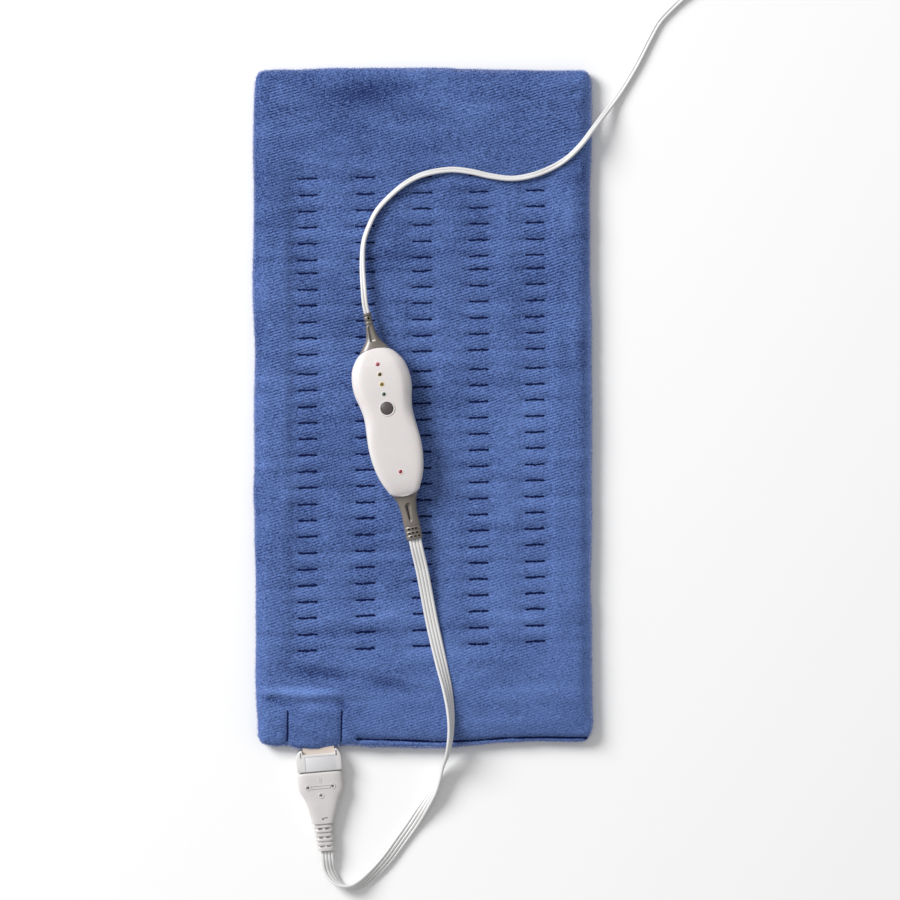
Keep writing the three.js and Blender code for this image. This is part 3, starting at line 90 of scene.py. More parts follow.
def startMaterial(name, **values):
    material = bpy.data.materials.new(name)
    material.use_nodes = True
    tree = material.node_tree
    shader = tree.nodes["Principled BSDF"]
    for key, value in values.items():
        shader.inputs[key.replace("_", " ")].default_value = value
    return material, tree, shader, addNode(tree, "TexCoord").outputs["Object"]


# Gives a shader two tones, mixed by one pattern, and a surface that rises and falls with another
def dress(tree, shader, share, tones, height=None, strength=0.0, depth=0.0):
    low, high = (hexColour(tone) if isinstance(tone, str) else tone for tone in tones)
    mixed = addNode(tree, "Mix", {"data_type": "RGBA"}, {0: share, 6: low, 7: high})
    tree.links.new(mixed.outputs[2], shader.inputs["Base Color"])
    if height:
        bump = addNode(
            tree, "Bump", None, {"Height": height, "Strength": strength, "Distance": depth * mm},
        )
        tree.links.new(bump.outputs[0], shader.inputs["Normal"])


# Turns a bmesh in local millimetres into a piece in the row frame
def makePiece(name, bm, place, material, smoothAngle=35):
    bmesh.ops.transform(bm, matrix=place @ Matrix.Scale(mm, 4), verts=bm.verts)
    mesh = bpy.data.meshes.new(name)
    bm.to_mesh(mesh)
    bm.free()
    piece = bpy.data.objects.new(name, mesh)
    bpy.context.scene.collection.objects.link(piece)
    mesh.materials.append(material)
    shadeSmooth(piece, smoothAngle)
    return piece


def shadeSmooth(piece, angle):
    mesh = piece.data
    mesh.polygons.foreach_set("use_smooth", [True] * len(mesh.polygons))
    mesh.set_sharp_from_angle(angle=math.radians(angle))


# Applies a piece's modifiers, and shades it again by its own angles
def settle(piece, smoothAngle=35):
    bpy.context.view_layer.update()
    shown = piece.evaluated_get(bpy.context.evaluated_depsgraph_get())
    mesh = bpy.data.meshes.new_from_object(shown)
    old = piece.data
    piece.modifiers.clear()
    piece.data = mesh
    bpy.data.meshes.remove(old)
    shadeSmooth(piece, smoothAngle)


def cutWith(piece, cutter):
    cut = piece.modifiers.new("cut", "BOOLEAN")
    cut.operation = "DIFFERENCE"
    cut.solver = "EXACT"
    cut.material_mode = "TRANSFER"
    cut.object = cutter


def dropObject(thing):
    mesh = thing.data
    bpy.data.objects.remove(thing)
    bpy.data.meshes.remove(mesh)


# Cuts the bodies of a bmesh, which may cross each other, out of a piece
def carve(piece, bm, place, crossing=False):
    cutter = makePiece("cutter", bm, place, piece.data.materials[0])
    cutWith(piece, cutter)
    piece.modifiers["cut"].use_self = crossing
    settle(piece)
    dropObject(cutter)


def surfaceTree(piece):
    mesh = piece.data
    return BVHTree.FromPolygons([v.co for v in mesh.vertices], [p.vertices for p in mesh.polygons])


def softenEdges(piece, width, angle):
    soft = piece.modifiers.new("soft", "BEVEL")
    soft.width = width * mm
    soft.segments = 2
    soft.limit_method = "ANGLE"
    soft.angle_limit = math.radians(angle)


def addWall(piece, thickness):
    wall = piece.modifiers.new("wall", "SOLIDIFY")
    wall.thickness = thickness * mm
    wall.offset = -1
    wall.use_even_offset = False


# The vertices of a new grid, each with its column and row
def gridVerts(bm, across, up):
    made = bmesh.ops.create_grid(bm, x_segments=across, y_segments=up, size=1)["verts"]
    return [(vert, round((vert.co.x + 1) / 2 * across), round((vert.co.y + 1) / 2 * up)) for vert in made]


# Skins rings or chains of points: a grid laid on them, welded where a ring meets itself
def loft(bm, rings, closed=True, capped=True):
    made = gridVerts(bm, len(rings[0]) - (0 if closed else 1), len(rings) - 1)
    for vert, column, row in made:
        vert.co = rings[row][column % len(rings[0])]
    bmesh.ops.remove_doubles(bm, verts=[vert for vert, _, _ in made], dist=1e-5)
    if capped:
        bmesh.ops.holes_fill(bm, edges=[e for e in bm.edges if e.is_boundary], sides=0)
    bmesh.ops.recalc_face_normals(bm, faces=bm.faces)
    return bm


# A section round the Y axis, between an ellipse and a rounded box; part takes some of the turn only
def superRing(count, y, across, up, down, middle, power, part=(0, 1)):
    points = []
    whole = part == (0, 1)
    for k in range(count):
        share = part[0] + (part[1] - part[0]) * k / (count if whole else count - 1)
        c, s = math.cos(2 * math.pi * share), math.sin(2 * math.pi * share)
        c, s = (0 if abs(v) < 1e-9 else v for v in (c, s))
        x = math.copysign(abs(c) ** (2 / power), c) * across
        z = math.copysign(abs(s) ** (2 / power), s)
        points.append(Vector((x, y, middle + z * (up if z > 0 else down))))
    return points


# A smooth way from one value to the next, with a slope given at both
def hermite(start, startSlope, end, endSlope, w):
    return (
        start * (2 * w ** 3 - 3 * w ** 2 + 1) + startSlope * (w ** 3 - 2 * w ** 2 + w)
        + end * (3 * w ** 2 - 2 * w ** 3) + endSlope * (w ** 3 - w ** 2)
    )


# Smooth values between the rows of a table whose first column is a share
def between(table, share):
    k = max(0, min(len(table) - 2, sum(row[0] <= share for row in table) - 1))
    rows = [table[max(0, min(len(table) - 1, k + n))] for n in (-1, 0, 1, 2)]
    (s0, *v0), (s1, *v1), (s2, *v2), (s3, *v3) = rows
    w = (share - s1) / (s2 - s1)
    values = []
    for a, b, c, d in zip(v0, v1, v2, v3):
        m1 = (c - a) / (s2 - s0) * (s2 - s1)
        m2 = (d - b) / (s3 - s1) * (s2 - s1)
        values.append(hermite(b, m1, c, m2, w))
    return values


# Straight values between the rows of a table
def along(table, value):
    if value <= table[0][0]:
        return table[0][1]
    for (a, p), (b, q) in zip(table, table[1:]):
        if value <= b:
            return p + (q - p) * (value - a) / (b - a)
    return table[-1][1]


def smoothStep(value, low, high):
    t = max(0.0, min(1.0, (value - low) / (high - low)))
    return t * t * (3 - 2 * t)


# A flat outline raised to a plate, with all its edges rounded
def roundedPlate(outline, low, high, rounding, segments):
    bm = bmesh.new()
    face = bm.faces.new([bm.verts.new((x, y, low)) for x, y in outline])
    top = bmesh.ops.extrude_face_region(bm, geom=[face])["geom"]
    verts = [part for part in top if isinstance(part, bmesh.types.BMVert)]
    bmesh.ops.translate(bm, vec=(0, 0, high - low), verts=verts)
    bmesh.ops.recalc_face_normals(bm, faces=bm.faces)
    bmesh.ops.bevel(
        bm, geom=list(bm.edges), offset=rounding, offset_type="OFFSET", segments=segments,
        profile=0.5, affect="EDGES", material=-1, clamp_overlap=True,
    )
    return bm


def addBox(bm, low, high):
    made = bmesh.ops.create_cube(bm, size=1)["verts"]
    size = [b - a for a, b in zip(low, high)]
    bmesh.ops.scale(bm, vec=size, verts=made)
    bmesh.ops.translate(bm, vec=[(a + b) / 2 for a, b in zip(low, high)], verts=made)


def addDrum(bm, radius, low, high, x, y, sides=32, topRadius=None):
    made = bmesh.ops.create_cone(
        bm, cap_ends=True, segments=sides, radius1=radius, radius2=topRadius or radius, depth=high - low,
    )["verts"]
    bmesh.ops.translate(bm, vec=(x, y, (low + high) / 2), verts=made)
    return made


# A profile of radius and height turned round a line that stands on a spot
def turnProfile(bm, profile, spot, sides):
    before = set(bm.verts)
    verts = [bm.verts.new((r, 0, z)) for r, z in profile]
    edges = [bm.edges.new(pair) for pair in zip(verts, verts[1:])]
    bmesh.ops.spin(
        bm, geom=verts + edges, cent=(0, 0, 0), axis=(0, 0, 1), angle=2 * math.pi, steps=sides,
        use_merge=True,
    )
    bmesh.ops.remove_doubles(bm, verts=[v for v in bm.verts if v not in before], dist=1e-4)
    bmesh.ops.recalc_face_normals(bm, faces=bm.faces)
    bmesh.ops.translate(bm, vec=spot, verts=[v for v in bm.verts if v not in before])
    return bm


# Where the connector and the controller lie, as in the CAD
connector = {"corner": (-92.5, -327.6), "tilt": 5, "axis": 7, "end": -71.2}
controller = {
    "nose": (-43.6, 53.3), "base": 14.3, "tilt": 12, "length": 135.3, "halfWidth": 26.6,
    "split": 9, "rise": 12.5, "depth": 9.5, "power": 2.6, "facePower": 4.6, "wall": 2.2,
    "upperBoot": 32.4, "lowerBoot": 39.6, "pull": 21,
}


def turnedPlace(spot, tilt):
    return Matrix.Translation(Vector(spot) * mm) @ Matrix.Rotation(math.radians(tilt), 4, "Z")


connectorPlace = turnedPlace((*connector["corner"], 0), connector["tilt"])
controllerPlace = turnedPlace((*controller["nose"], controller["base"]), controller["tilt"])
rowPlace = Matrix.Identity(4)
# Shades a piece without any sharp edge
allSmooth = 180


# Point on the middle line of a turned frame, in row millimetres
def onMiddle(place, y, z):
    return tuple((place @ (Vector((0, y, z)) * mm)) / mm)

# Vinyl, extruded or moulded: a satin skin with faint clouding and a fine grain from the tool
def vinylMaterial(name, colour, shade, roughness, coat=0.0, grain=0.25, coatRoughness=0.25, coatIor=1.5):
    material, tree, shader, place = startMaterial(
        name, Roughness=roughness, IOR=1.53, Coat_Weight=coat, Coat_Roughness=coatRoughness, Coat_IOR=coatIor,
    )
    cloud = addNode(tree, "TexNoise", None, {"Vector": place, "Scale": 45, "Detail": 3})
    blend = addNode(tree, "MapRange", None, {"Value": cloud, "From Min": 0.3, "From Max": 0.7})
    fine = addNode(tree, "TexNoise", None, {"Vector": place, "Scale": 1400, "Detail": 2})
    dress(tree, shader, blend, (shade, colour), fine, grain, 0.05)
    return material


cordVinyl = vinylMaterial("extrudedCordVinyl", "#e4e3e3", "#dbdad9", 0.3, coat=0.35, grain=0.12)
print("camera and tools ready")

# Cords: the same listed stations as the CAD, of x, y, z and roll
leadStations = [
    (-84.2, -416.5, 5, -14), (-80.6, -423.8, 5.4, -40), (-76, -428.6, 6.2, -68), (-69.8, -431.2, 6.4, -92),
    (-63.4, -431.6, 6.1, -118), (-55.7, -428.6, 5.4, -137), (-44.7, -419.6, 4.2, -151),
    (-32.2, -406.2, 3.3, -162), (-20.9, -390.9, 2.7, -169), (-9.5, -375, 2.5, -180),
    (0.4, -359.6, 4.1, -207), (9.3, -345.6, 5.8, -236),
    (14.4, -334.2, 7, -258), (17.8, -324, 9.4, -270), (21.6, -313.2, 14.2, -280), (24.3, -299, 19.6, -288),
    (25.2, -285, 20.9, -294), (24.3, -270, 20.6, -304), (21.5, -252, 19.4, -318), (17.1, -233, 17.9, -335),
    (12.5, -213, 16.6, -350), (7.5, -190, 16.2, -360), (3.2, -167, 17.4, -360), (-0.6, -147, 20, -360),
]
cordStations = [
    (-53.4, 108, 22.2, -12), (-54.5, 129, 19.6, -38), (-53.3, 149.5, 18, -58), (-47.6, 166, 17.1, -60),
    (-40.9, 178.4, 17, -57), (-27.5, 192.7, 17, -54), (-14, 203.2, 16.8, -42), (0.5, 210.1, 16.6, -30),
    (24.3, 214.4, 16.2, -14), (43.2, 212.6, 16.2, -14), (60.8, 208.7, 16.4, -24), (80.5, 206.5, 16.7, -38),
    (97.9, 209.2, 16.4, -20), (115.4, 215.9, 16.2, -10), (129.5, 224.5, 16.8, -40), (142.7, 237.5, 16.4, -46),
    (152.5, 250.5, 13.8, -44), (161.5, 262.5, 8.9, -38), (170.5, 274.5, 4.1, -32), (179.5, 287.5, 2.4, -26),
    (192.6, 309.5, 2.2, -20), (204.3, 332.5, 2, -12), (213, 348, 1.9, -8), (225, 361, 2, -10),
    (238, 373, 2.5, -26), (249.5, 383, 2.9, -48), (262.3, 390.6, 3.1, -74),
]
lead = {
    "width": 11.6, "thickness": 2.8, "ribs": 4, "groove": 0.95, "ribSteps": 10, "step": 1.6, "exitRun": 8,
    "gap": 0.3, "twist": -360,
}
mains = {
    "width": 5.6, "thickness": 2.9, "ribs": 2, "groove": 0.75, "ribSteps": 8, "step": 1.5, "exitRun": 8,
    "gap": 0.3,
}
coil = {
    "middle": (290, 433), "radius": 40, "turnPitch": 4.6, "layerPitch": 6.5, "turns": 8.25, "floorGap": 0.2,
    "steps": 72, "roll": -90,
}
plug = {
    "halfWidth": 12.5, "halfThickness": 9.2, "body": 30, "relief": 13, "neckHalf": 3.4, "neckHigh": 4.6,
    "ribDeep": 0.75, "blades": ((7.9, 6.35), (6.3, -6.35)),
}


# Even points and rolls on a smooth line through stations
def smoothLine(stations, step):
    knots = [Vector(s[:3]) for s in stations]
    dense = []
    for k in range(len(knots) - 1):
        p1, p2 = knots[k], knots[k + 1]
        p0 = knots[k - 1] if k else 2 * p1 - p2
        p3 = knots[k + 2] if k + 2 < len(knots) else 2 * p2 - p1
        d0, d1, d2 = (math.sqrt((b - a).length) for a, b in ((p0, p1), (p1, p2), (p2, p3)))
        m1 = ((p1 - p0) / d0 - (p2 - p0) / (d0 + d1) + (p2 - p1) / d1) * d1
        m2 = ((p2 - p1) / d1 - (p3 - p1) / (d1 + d2) + (p3 - p2) / d2) * d1
        for n in range(40):
            w = n / 40
            roll = stations[k][3] + (stations[k + 1][3] - stations[k][3]) * w
            dense.append((hermite(p1, m1, p2, m2, w), roll))
    dense.append((knots[-1], stations[-1][3]))
    return evenSteps(dense, step)


def evenSteps(dense, step):
    marks = [0.0]
    for (a, _), (b, _) in zip(dense, dense[1:]):
        marks.append(marks[-1] + (b - a).length)
    count = round(marks[-1] / step)
    points, k = [], 0
    for n in range(count + 1):
        goal = marks[-1] * n / count
        while k < len(marks) - 2 and marks[k + 1] < goal:
            k += 1
        w = (goal - marks[k]) / (marks[k + 1] - marks[k])
        spot, roll = dense[k][0].lerp(dense[k + 1][0], w), dense[k][1] + (dense[k + 1][1] - dense[k][1]) * w
        points.append((spot, roll))
    return points, marks[-1]


# Sweeps a flat section along points, held level and then rolled about the line
def sweepFlat(name, points, section, material):
    rolls = [roll for _, roll in points]
    rings = []
    for k, (spot, _) in enumerate(points):
        tangent = (points[min(k + 1, len(points) - 1)][0] - points[max(k - 1, 0)][0]).normalized()
        near = rolls[max(k - 4, 0):k + 5]
        side = tangent.cross(Vector((0, 0, 1))).normalized()
        side = Matrix.Rotation(math.radians(sum(near) / len(near)), 3, tangent) @ side
        rise = tangent.cross(side)
        rings.append([spot + side * a + rise * b for a, b in section])
    return makePiece(name, loft(bmesh.new(), rings), rowPlace, material, 60)


# Ribs side by side, joined by webs: the outline of a flat moulded cord
def ribbedSection(cord):
    width, thickness, steps = cord["width"], cord["thickness"], cord["ribSteps"]
    pitch, count, top = width / cord["ribs"], cord["ribs"] * steps, []
    for n in range(count + 1):
        x = -width / 2 + width * n / count
        inRib = ((x + width / 2) / pitch) % 1 if n < count else 1
        edge = n in (0, count)
        arch = math.sqrt(max(0, 1 - (2 * inRib - 1) ** 2))
        low = 0 if edge else thickness / 2 - cord["groove"]
        top.append((x, low + (thickness / 2 - low) * arch if edge or 0 < inRib < 1 else low))
    # The outer flanks are round down to the middle
    for n in range(1, steps // 2):
        for k in (n, len(top) - 1 - n):
            x = abs(top[k][0])
            t = (width / 2 - x) / (pitch / 2)
            top[k] = (top[k][0], thickness / 2 * math.sqrt(max(0, 1 - (1 - t) ** 2)))
    return top[:-1] + [(x, -z) for x, z in top[:0:-1]]


leadExit, leadRun = (
    onMiddle(connectorPlace, connector["end"] - away, connector["axis"])
    for away in (lead["gap"], lead["exitRun"])
)
tail = -controller["length"] - controller["lowerBoot"]
tailRun, tailExit = (
    onMiddle(controllerPlace, tail - away, controller["split"]) for away in (lead["exitRun"], lead["gap"])
)
leadPoints, leadLength = smoothLine(
    [
        (*leadExit, 0), (*leadRun, 0), *leadStations,
        (*tailRun, lead["twist"]), (*tailExit, lead["twist"]),
    ], lead["step"],
)
flatLead = sweepFlat("flatLead", leadPoints, ribbedSection(lead), cordVinyl)
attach(flatLead, "control_lead")
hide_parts("flat_lead")

coilX, coilY = coil["middle"]
coilLow = coil["floorGap"] + mains["width"] / 2
tangentY = coilY - coil["radius"]
cordExit, cordRun = (
    onMiddle(controllerPlace, controller["upperBoot"] + away, controller["split"])
    for away in (mains["gap"], mains["exitRun"])
)
freePoints, freeLength = smoothLine(
    [
        (*cordExit, 0), (*cordRun, 0), *cordStations,
        (coilX - mains["width"] - mains["exitRun"], tangentY, coilLow, coil["roll"]),
        (coilX - mains["width"] - mains["gap"], tangentY, coilLow, coil["roll"]),
    ], mains["step"],
)


# Spirals in on the floor, climbs a layer where it turns back, and spirals out again up to the plug
def coilLine():
    total = round(coil["turns"] * coil["steps"])
    dense = [(Vector((coilX - mains["width"], tangentY, coilLow)), coil["roll"])]
    for n in range(total + 1):
        turns = n / coil["steps"]
        angle = turns * 2 * math.pi - math.pi / 2
        fromReverse = abs(turns - coil["turns"] / 2)
        radius = coil["radius"] - coil["turnPitch"] * (coil["turns"] / 2 - fromReverse)
        climb = smoothStep(turns, coil["turns"] / 2 - 0.25, coil["turns"] / 2 + 0.25)
        lift = smoothStep(turns, coil["turns"] - 0.5, coil["turns"])
        plugLift = coil["floorGap"] + plug["halfWidth"] - coilLow - coil["layerPitch"]
        z = coilLow + climb * coil["layerPitch"] + lift * plugLift
        spot = Vector((coilX + radius * math.cos(angle), coilY + radius * math.sin(angle), z))
        dense.append((spot, coil["roll"]))
    end = dense[-1][0]
    dense.append((end + Vector((0, mains["width"], 0)), coil["roll"]))
    return dense


coilPoints, coilLength = evenSteps(coilLine(), mains["step"])
cordPoints = freePoints + coilPoints
mainsCord = sweepFlat("mainsCord", cordPoints, ribbedSection(mains), cordVinyl)
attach(mainsCord, "control_lead")
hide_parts("mains_cord", "mains_cord_coil")
plugPlace = Matrix.Translation((coilPoints[-1][0] + Vector((0, mains["gap"], 0))) * mm)
plugPlace.translation.z = (coil["floorGap"] + plug["halfWidth"]) * mm
print(f"cords laid: lead {leadLength:.0f} mm, free cord {freeLength:.0f} mm, coil {coilLength:.0f} mm")

# Pad: sizes of its body, its rows of dashes and the inner grid of its cover
pad = {
    "halfWidth": 152.5, "halfLength": 305, "thickness": 14, "seam": 6, "cornerRadius": 8, "cornerBlend": 45,
    "rollWidth": 7, "underRoll": 8, "dashHalf": 9.6, "dashMiddles": (-104, -52.2, -0.9, 50, 100.6),
    "dashRows": 30, "topRow": 208.5, "bottomRow": -214.1, "topSlope": 0.019, "bottomSlope": 0.041,
    "dashDepth": 0.9, "insets": (0, 0.6, 2.2, 4.8, 8, 12, 17), "slippedRows": range(6, 12), "slip": 2.7,
    "rollPower": 2.3, "underPower": 2, "levelRun": 80, "spacing": 4, "dashCuts": 5, "rowCuts": 4,
}
# Plush: brushed twill whose rows rise a little to the right
plush = {
    "rowPitch": 2.54, "rowSlope": 17, "tufts": 1.75, "clouds": 0.5, "rippleShade": 0.45, "middle": 1.33,
    "low": -0.42, "high": 0.56, "dark": "#11265a", "light": "#6e8cce", "paintedFoldShade": 0.12,
}
# Soft folds that the cloth has taken: middle x and y, length, turn in degrees, half width, height. The plush
# is also painted paler on a ridge and darker in a valley: painted light and shade of the fold
folds = [
    (-108, -255.5, 92, -2, 5.5, 3.4), (-92, -239, 56, -4, 6, -3), (-28, -249, 58, -8, 7, -2),
    (-131, -264, 34, -14, 4, -2.6), (-72, -267, 16, -35, 3.5, -2), (-98, -272, 34, 4, 6, 1.2),
    (-40, -186, 120, 2, 6, 1.3), (-60, -203, 100, 1, 5, -1), (66, -44, 52, 2, 6, -1),
    (121, 104, 24, 0, 11, -1.2), (-45, -109, 56, 2, 6, -1), (-10, 179, 48, 0, 6, 1.1),
    (-124, 135, 50, 90, 7, 1.2), (-124, 0, 56, 90, 7, 1.1), (132, 180, 44, 88, 7, 1.2),
    (137, 55, 34, 90, 6, 0.9), (74, -97, 44, 0, 9, 1.1), (78, -188, 54, 0, 9, 1), (-122, -80, 44, 80, 8, 1),
    (-48, 286, 84, 4, 13, -1.3), (40, 268, 60, -4, 12, 1.1), (-140, 286, 26, 70, 8, -1),
    # The last two run down the side edges and barely raise the cloth: they paint the right edge paler and the
    # left edge a little darker, painted light and shade along the rolled sides
    (100, -255, 90, 3, 9, 0.9), (152, 0, 900, 90, 6, 4.6), (-152, 0, 900, 90, 6, -1),
]


# How far a spot lies outside a rectangle round the pad's middle
def beyondRectangle(tree, place, halfWidth, halfLength):
    fromMiddle = addNode(tree, "VectorMath", {"operation": "ABSOLUTE"}, {0: place})
    beyond = addNode(
        tree, "VectorMath", {"operation": "SUBTRACT"},
        {0: fromMiddle, 1: (halfWidth * mm, halfLength * mm, 1)},
    )
    x, y, _ = addNode(tree, "SeparateXYZ", None, {0: beyond}).outputs
    return addNode(tree, "Math", {"operation": "MAXIMUM"}, {0: x, 1: y})


plushMaterial, tree, shader, place = startMaterial(
    "brushedTwillPlush", Roughness=0.95, IOR=1.4, Sheen_Weight=0.3, Sheen_Roughness=0.35,
    Sheen_Tint=hexColour("#a9b4dc"),
)
# The cloth lies a little skew, more so here than there
drift = addNode(tree, "TexNoise", None, {"Vector": place, "Scale": 5, "Detail": 1})
shift = addNode(tree, "VectorMath", {"operation": "SCALE"}, {0: drift.outputs[1], "Scale": 14 * mm})
warped = addNode(tree, "VectorMath", {"operation": "ADD"}, {0: place, 1: shift})
alongRows = addNode(
    tree, "Mapping", None, {"Vector": warped, "Rotation": (0, 0, math.radians(-plush["rowSlope"]))},
)
# A wave repeats every tenth of pi over its scale, so this gives the spacing of the twill rows in metres
rows = addNode(
    tree, "TexWave", {"wave_type": "BANDS", "bands_direction": "Y", "wave_profile": "SIN"},
    {
        "Vector": alongRows, "Scale": math.pi / 10 / (plush["rowPitch"] * mm),
        "Distortion": 0.8, "Detail": 2, "Detail Scale": 3, "Detail Roughness": 0.6,
    },
)
# Tufts along a row, longer than they are wide, and the single fibres between them
stretched = addNode(tree, "Mapping", None, {"Vector": alongRows, "Scale": (0.55, 1, 1)})
tufts = addNode(
    tree, "TexNoise", None,
    {"Vector": stretched, "Scale": 1080, "Detail": 1.5, "Roughness": 0.55},
)
# Brushed one way here and another there, the pile shows paler and deeper clouds
clouds = addNode(tree, "TexNoise", None, {"Vector": place, "Scale": 16, "Detail": 4, "Roughness": 0.55})
# Painted light and shade of small ripples in the cloth: long soft streaks that follow the sewn rows
longPlace = addNode(tree, "Mapping", None, {"Vector": place, "Scale": (16, 62, 1)})
rippleShade = addNode(tree, "TexNoise", None, {"Vector": longPlace, "Scale": 1, "Detail": 2})
# The rows hide behind the tufts where the pile is combed more, where it is worn softer towards the connector,
# and where the cloth folds over the pad's edge
combed = addNode(
    tree, "TexNoise", {"noise_dimensions": "4D"},
    {"Vector": place, "W": 4, "Scale": 11, "Detail": 2},
)
rowPart = addNode(
    tree, "MapRange", None,
    {"Value": combed, "From Min": 0.35, "From Max": 0.65, "To Min": 0.26, "To Max": 0.46},
)
wornAlong = addNode(tree, "VectorMath", {"operation": "DOT_PRODUCT"}, {0: place, 1: (-0.5, 1, 0)})
worn = addNode(
    tree, "MapRange", None,
    {
        "Value": wornAlong.outputs["Value"], "From Min": -0.33, "From Max": -0.08,
        "To Min": 0.78, "To Max": 1.08,
    },
)
kept = addNode(
    tree, "MapRange", None,
    {
        "Value": beyondRectangle(tree, place, pad["halfWidth"], pad["halfLength"]),
        "From Min": -3 * mm, "From Max": -18 * mm, "To Min": 0.3, "To Max": 1,
    },
)
rowHeight = addNode(tree, "Math", {"operation": "SUBTRACT"}, {0: rows.outputs[1], 1: 0.5})
for weight in (worn, kept, rowHeight):
    rowPart = addNode(tree, "Math", {"operation": "MULTIPLY"}, {0: rowPart, 1: weight})
tuftPart = tone = addNode(
    tree, "Math", {"operation": "MULTIPLY_ADD"}, {0: tufts, 1: plush["tufts"], 2: rowPart},
)
for pattern, weight in ((clouds, plush["clouds"]), (rippleShade, plush["rippleShade"])):
    tone = addNode(tree, "Math", {"operation": "MULTIPLY_ADD"}, {0: pattern, 1: weight, 2: tone})
about = addNode(tree, "Math", {"operation": "SUBTRACT"}, {0: tone, 1: plush["middle"]})
# Towards the connector the tones are also closer together. The pad is also painted paler towards the lower
# right and darker towards the upper left, a painted fall-off of the light
paler = addNode(tree, "VectorMath", {"operation": "DOT_PRODUCT"}, {0: place, 1: (0.18, -0.24, 0)})
spread = addNode(
    tree, "Math", {"operation": "MULTIPLY_ADD"}, {0: about, 1: worn, 2: paler.outputs["Value"]},
)
# Each fold paints its ridge paler and its valley darker: painted light and shade of the fold, added to the
# tone
for middleX, middleY, length, turn, half, high in folds:
    local = addNode(
        tree, "Mapping", {"vector_type": "TEXTURE"},
        {
            "Vector": place, "Location": (middleX * mm, middleY * mm, 12 * mm),
            "Rotation": (0, 0, math.radians(turn)), "Scale": (length * 0.75 * mm, half * 1.5 * mm, 0.1),
        },
    )
    away = addNode(tree, "VectorMath", {"operation": "LENGTH"}, {0: local})
    share = addNode(
        tree, "MapRange", {"interpolation_type": "SMOOTHSTEP"},
        {"Value": away.outputs["Value"], "To Min": high * plush["paintedFoldShade"], "To Max": 0.0},
    )
    spread = addNode(tree, "Math", {"operation": "ADD"}, {0: spread, 1: share})
level = addNode(
    tree, "MapRange", None, {"Value": spread, "From Min": plush["low"], "From Max": plush["high"]},
)
dress(tree, shader, level, (plush["dark"], plush["light"]), tuftPart, 0.35, 0.5)

# Where the photograph's outline leaves the plain rectangle: place along the side, and how far in
padDrift = {
    "left": [
        (-302, 5.3), (-297, 4), (-291, 3.7), (-283, 3.7), (-270, 2.6), (-248, 1.5), (-227, 1.6), (-205, 2),
        (-184, 1.7), (-162, 1.9), (-140, 1.6), (-119, 0.6), (-97, 0.6), (-76, -0.5), (-54, 0.6), (-32, 0.5),
        (-11, 0.2), (11, 0.3), (32, 0.8), (54, 1.2), (76, 0), (97, -0.9), (119, -1.2), (140, -0.5),
        (162, -0.1), (184, 0.1), (205, -0.1), (227, -0.8), (248, -0.5), (270, 0), (283, 0.4), (292, 1.2),
        (298, 1.8), (303, 2.8),
    ],
    "right": [
        (-302, 3), (-297, 1), (-288, -0.7), (-270, -0.2), (-248, 0.3), (-227, 0.4), (-205, 0.5), (-184, 0.6),
        (-162, 1.9), (-140, 1.4), (-119, 0.7), (-97, 0.4), (-76, 0.6), (-54, 0.6), (-32, 0.5), (-11, 0.5),
        (11, 0.4), (32, 0.7), (54, 0.6), (76, 0.7), (97, 1.3), (119, 2.5), (140, 2.3), (162, 2.2),
        (184, 2.5), (205, 2.2), (227, 0.8), (270, 0.6), (292, 0.5), (300, 1.8), (304, 3),
    ],
    "top": [
        (-149, 1), (-145, 0.9), (-138, 0.2), (-130, 0), (-123, -0.1), (-116, 0.2), (-111, 0.2), (-94, -0.9),
        (-78, -1.5), (-62, -1.3), (-46, -1.5), (-30, -1.5), (-14, -1.5), (3, -1.8), (19, -1.6),
        (35, -0.7), (51, -0.3), (68, 0.1), (84, 0.2), (100, 0.7), (116, 0.9), (132, 0.7), (140, 0.6),
    ],
    "bottom": [
        (-145, 1.6), (-138, 0.2), (-130, 0.5), (-123, 1.1), (-116, -1.5), (-111, -1.8),
        (-94, -2.8), (-78, 0.3), (-62, 1), (-46, -0.9), (-30, -0.6), (-14, -1.2), (3, -1.5),
        (19, -1.5), (35, 0.3), (51, 1.3), (68, 3.8), (84, 4), (100, 5.3), (116, 4.9), (132, 4.4),
        (140, 4.7),
    ],
}


# Lines of a grid: close together at both edges, even within each mark and evenly spaced between the marks
def gridLines(low, high, marks, insets, spacing):
    lines = [low + d for d in insets]
    inner = high - insets[-1]
    for start, end, count in [*marks, (inner, inner, 0)]:
        gap = start - lines[-1]
        cuts = max(1, round(gap / spacing))
        lines += [lines[-1] + gap * (n + 1) / cuts for n in range(cuts)]
        lines += [start + (end - start) * (n + 1) / count for n in range(count)]
    return lines + [high - d for d in insets[-2::-1]]


def rowSlope(y):
    t = (y - pad["bottomRow"]) / (pad["topRow"] - pad["bottomRow"])
    slope = pad["bottomSlope"] + (pad["topSlope"] - pad["bottomSlope"]) * max(0, min(1, t))
    return slope * smoothStep(pad["halfLength"] - abs(y), 0, pad["levelRun"])


def rolled(distance, width, power):
    return (1 - (1 - max(0.0, min(1.0, distance / width))) ** power) ** (1 / power)


# Moves a point of the plain rectangle to the outline that the pad has
def shapeOutline(x, y):
    w, l, r = pad["halfWidth"], pad["halfLength"], pad["cornerRadius"]
    u, v = max(0, abs(x) - w + r) / r, max(0, abs(y) - l + r) / r
    sx = math.copysign(w - r + r * u * math.sqrt(1 - v * v / 2), x) if u else x
    sy = math.copysign(l - r + r * v * math.sqrt(1 - u * u / 2), y) if v else y
    left, right = (smoothStep(side, w - pad["cornerBlend"], w) for side in (-x, x))
    low, top = (smoothStep(side, l - pad["cornerBlend"], l) for side in (-y, y))
    sx += left * along(padDrift["left"], y) - right * along(padDrift["right"], y)
    sy += low * along(padDrift["bottom"], x) - top * along(padDrift["top"], x)
    return sx, sy


